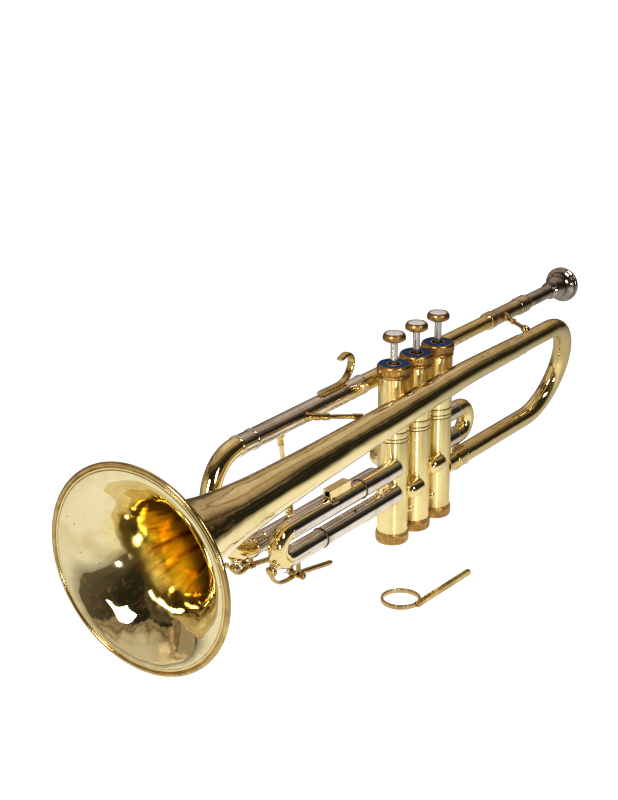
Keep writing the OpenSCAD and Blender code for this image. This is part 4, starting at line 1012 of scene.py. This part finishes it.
def make_hook():
    def flat(u, v):
        return Vector((u, v))
    centre = [Vector((y, 7.6)) for y in (-84, -80, -72, -63)]
    centre += arc((-63, 22.4), 14.8, -84, -20, 10, flat) + arc((-55.3, 19.6), 6.6, -12, 118, 18, flat)
    centre += [Vector((-60.4, 24.9)), Vector((-62.3, 24.3))]
    rings, n, segs = [], len(centre), 24
    for k, (y, z) in enumerate(centre):
        d = (centre[min(k + 1, n - 1)] - centre[max(k - 1, 0)]).normalized()
        half_width, half_height = (2.2, 0.9) if k == n - 1 else (2.75, 1.25)
        ring = []
        for j in range(segs):
            c, s = cos(2 * pi * j / segs), sin(2 * pi * j / segs)
            # flat inside, domed outside
            u = half_width * copysign(abs(c) ** 0.6, c)
            v = half_height * copysign(abs(s) ** (0.5 if s > 0 else 1.0), s)
            ring.append(Vector((LEAD_X + u, y - d.y * v, LEAD_Z + z + d.x * v)))
        rings.append(ring)
    b = Build().rings(capped(rings))
    foot = [(-83.6, 6.5), (-62.5, 6.5), (-62.5, 7.4), (-83.6, 7.4)]
    b.plate(foot, 5.2, lambda u, v, w: Vector((LEAD_X + w, u, LEAD_Z + v)))
    b.done("little_finger_hook", "horn", ["finger_hook"], WORN_AND_SHADED, sharp=40)


def turned_brace(b, p, q, start, stages):
    """A rod whose radius changes in stages: (fraction of the way where it ends, radius, edge rounding)."""
    p, q = Vector(p), Vector(q)
    length, pts = (q - p).length, [(0, 0)]
    for end, r, edge in stages:
        pts += [(r, start * length, edge), (r, end * length, edge)]
        start = end
    b.rod(p, q, rounded(pts + [(0, length)]))


def make_braces():
    b = Build()
    turned_brace(b, (LEAD_X, -110.5, 110.9), (15.6, -85.5, 111.1), 0.10,
                 [(0.19, 3.3, 0.5), (0.235, 2.7, 0.3), (0.27, 2.0, 0.2), (0.36, 2.4, 0.3), (0.385, 2.0, 0.2),
                  (0.5, 2.4, 0.3), (0.83, 1.55, 0.2), (0.86, 1.95, 0.2), (0.99, 1.9, 0.3)])
    turned_brace(b, (LEAD_X, 149, 110.7), (18.6, 119, 113.4), 0.10,
                 [(0.18, 3.4, 0.6), (0.24, 2.4, 0.4), (0.44, 1.8, 0.2), (0.47, 2.3, 0.3), (0.82, 1.5, 0.2),
                  (0.88, 2.0, 0.3), (0.97, 2.8, 0.5)])
    b.done("bell_brace_pair", "horn", ["bell_braces"], WORN_AND_SHADED)
    b = Build()
    turned_brace(b, tune(-129, -2 * TUNE_R), tune(-129, 0), 0.08,
                 [(0.13, 3.1, 0.5), (0.2, 2.3, 0.4), (0.8, 1.6, 0.2), (0.815, 2.2, 0.2), (0.88, 2.0, 0.2),
                  (0.93, 3.1, 0.5)])
    turned_brace(b, third(-56, -2 * THIRD_R), third(-56, 0), 0.05,
                 [(0.36, 3.3, 0.6), (0.64, 2.2, 0.4), (0.95, 3.3, 0.6)])
    turned_brace(b, first(43.5, -2 * FIRST_R), bow(43.5, -2 * BOW_R), 0.3,
                 [(0.45, 2.7, 0.4), (0.6, 2.0, 0.3), (0.8, 2.7, 0.4)])
    b.done("slide_pillars", "horn", ["slide_braces"], BRASS)


def make_loose_ring():
    turn, o = radians(-2.3), Vector((54.5, -101, 0))

    def at(x, y, z):
        return o + Vector((x * cos(turn) - y * sin(turn), x * sin(turn) + y * cos(turn), z))
    b = Build().lathe(rounded([(11.0, 0.0, 0.5), (12.8, 0.0, 0.6), (12.8, 2.9, 0.7), (11.0, 2.9, 0.5)],
                              steps=5), o, Z, 160)
    b.done("ring_band", "loose_finger_ring", ["finger_ring"], WORN_AND_SHADED, sharp=60)
    b, rings = Build(), []
    x0, x1, z0, z1 = 11.2, 14.4, 0.0, 3.2
    for y, d in ((-1.0, 0.0), (16.0, 0.0), (16.15, 0.3), (16.75, 0.3), (16.9, 0.0), (59.0, 0.0)):
        rings.append([at(x0 + d, y, z0), at(x1 - d, y, z0), at(x1 - d, y, z1 - d), at(x0 + d, y, z1 - d)])
    b.rings(rings)
    last = len(b.v)
    b.f += [(0, 1, 2, 3), (last - 4, last - 3, last - 2, last - 1)]
    b.done("ring_rod", "loose_finger_ring", [], WORN_AND_SHADED, sharp=30, bevel=0.3)


# ---- hidden working parts

def make_valve_springs(low=85.45, top=116.45, turns=7):
    """Coils in the pistons' barrels, each on its valve's body."""
    r, wire = 5.2, 0.45
    for i, y in VALVE_Y.items():
        path = [Vector((r * cos(t), y + r * sin(t), low + (top - low) * t / (2 * pi * turns)))
                for t in (2 * pi * k / 24 for k in range(turns * 24 + 1))]
        ob = wire_tube(path, wire, f"valve_spring_{i}", f"valve_{i}", f"piston_spring_{i}", 8)
        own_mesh(ob)


def finish_inner_nodes():
    """CAD nodes whose shape is right keep it, and get a finish."""
    keep = {"bell_rim_wire": BRASS, "valve_guides": INNER, **{f"piston_{i}": INNER for i in VALVE_Y}}
    for node, mat in keep.items():
        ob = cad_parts[node]
        if not ob.data.materials:
            ob.data.materials.append(mat)
        for place in ob.material_slots:
            place.material = mat


make_camera()
make_studio()
make_bell()
make_bow()
make_casings()
make_caps()
make_buttons()
make_casing_joints()
make_leadpipe()
make_mouthpiece()
make_tuning()
make_third()
make_keys()
make_first()
make_second()
make_hook()
make_braces()
make_loose_ring()
make_valve_springs()
finish_inner_nodes()

lists = [[list(map(float, corner)) for corner in box] for box in (cad_box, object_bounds())]
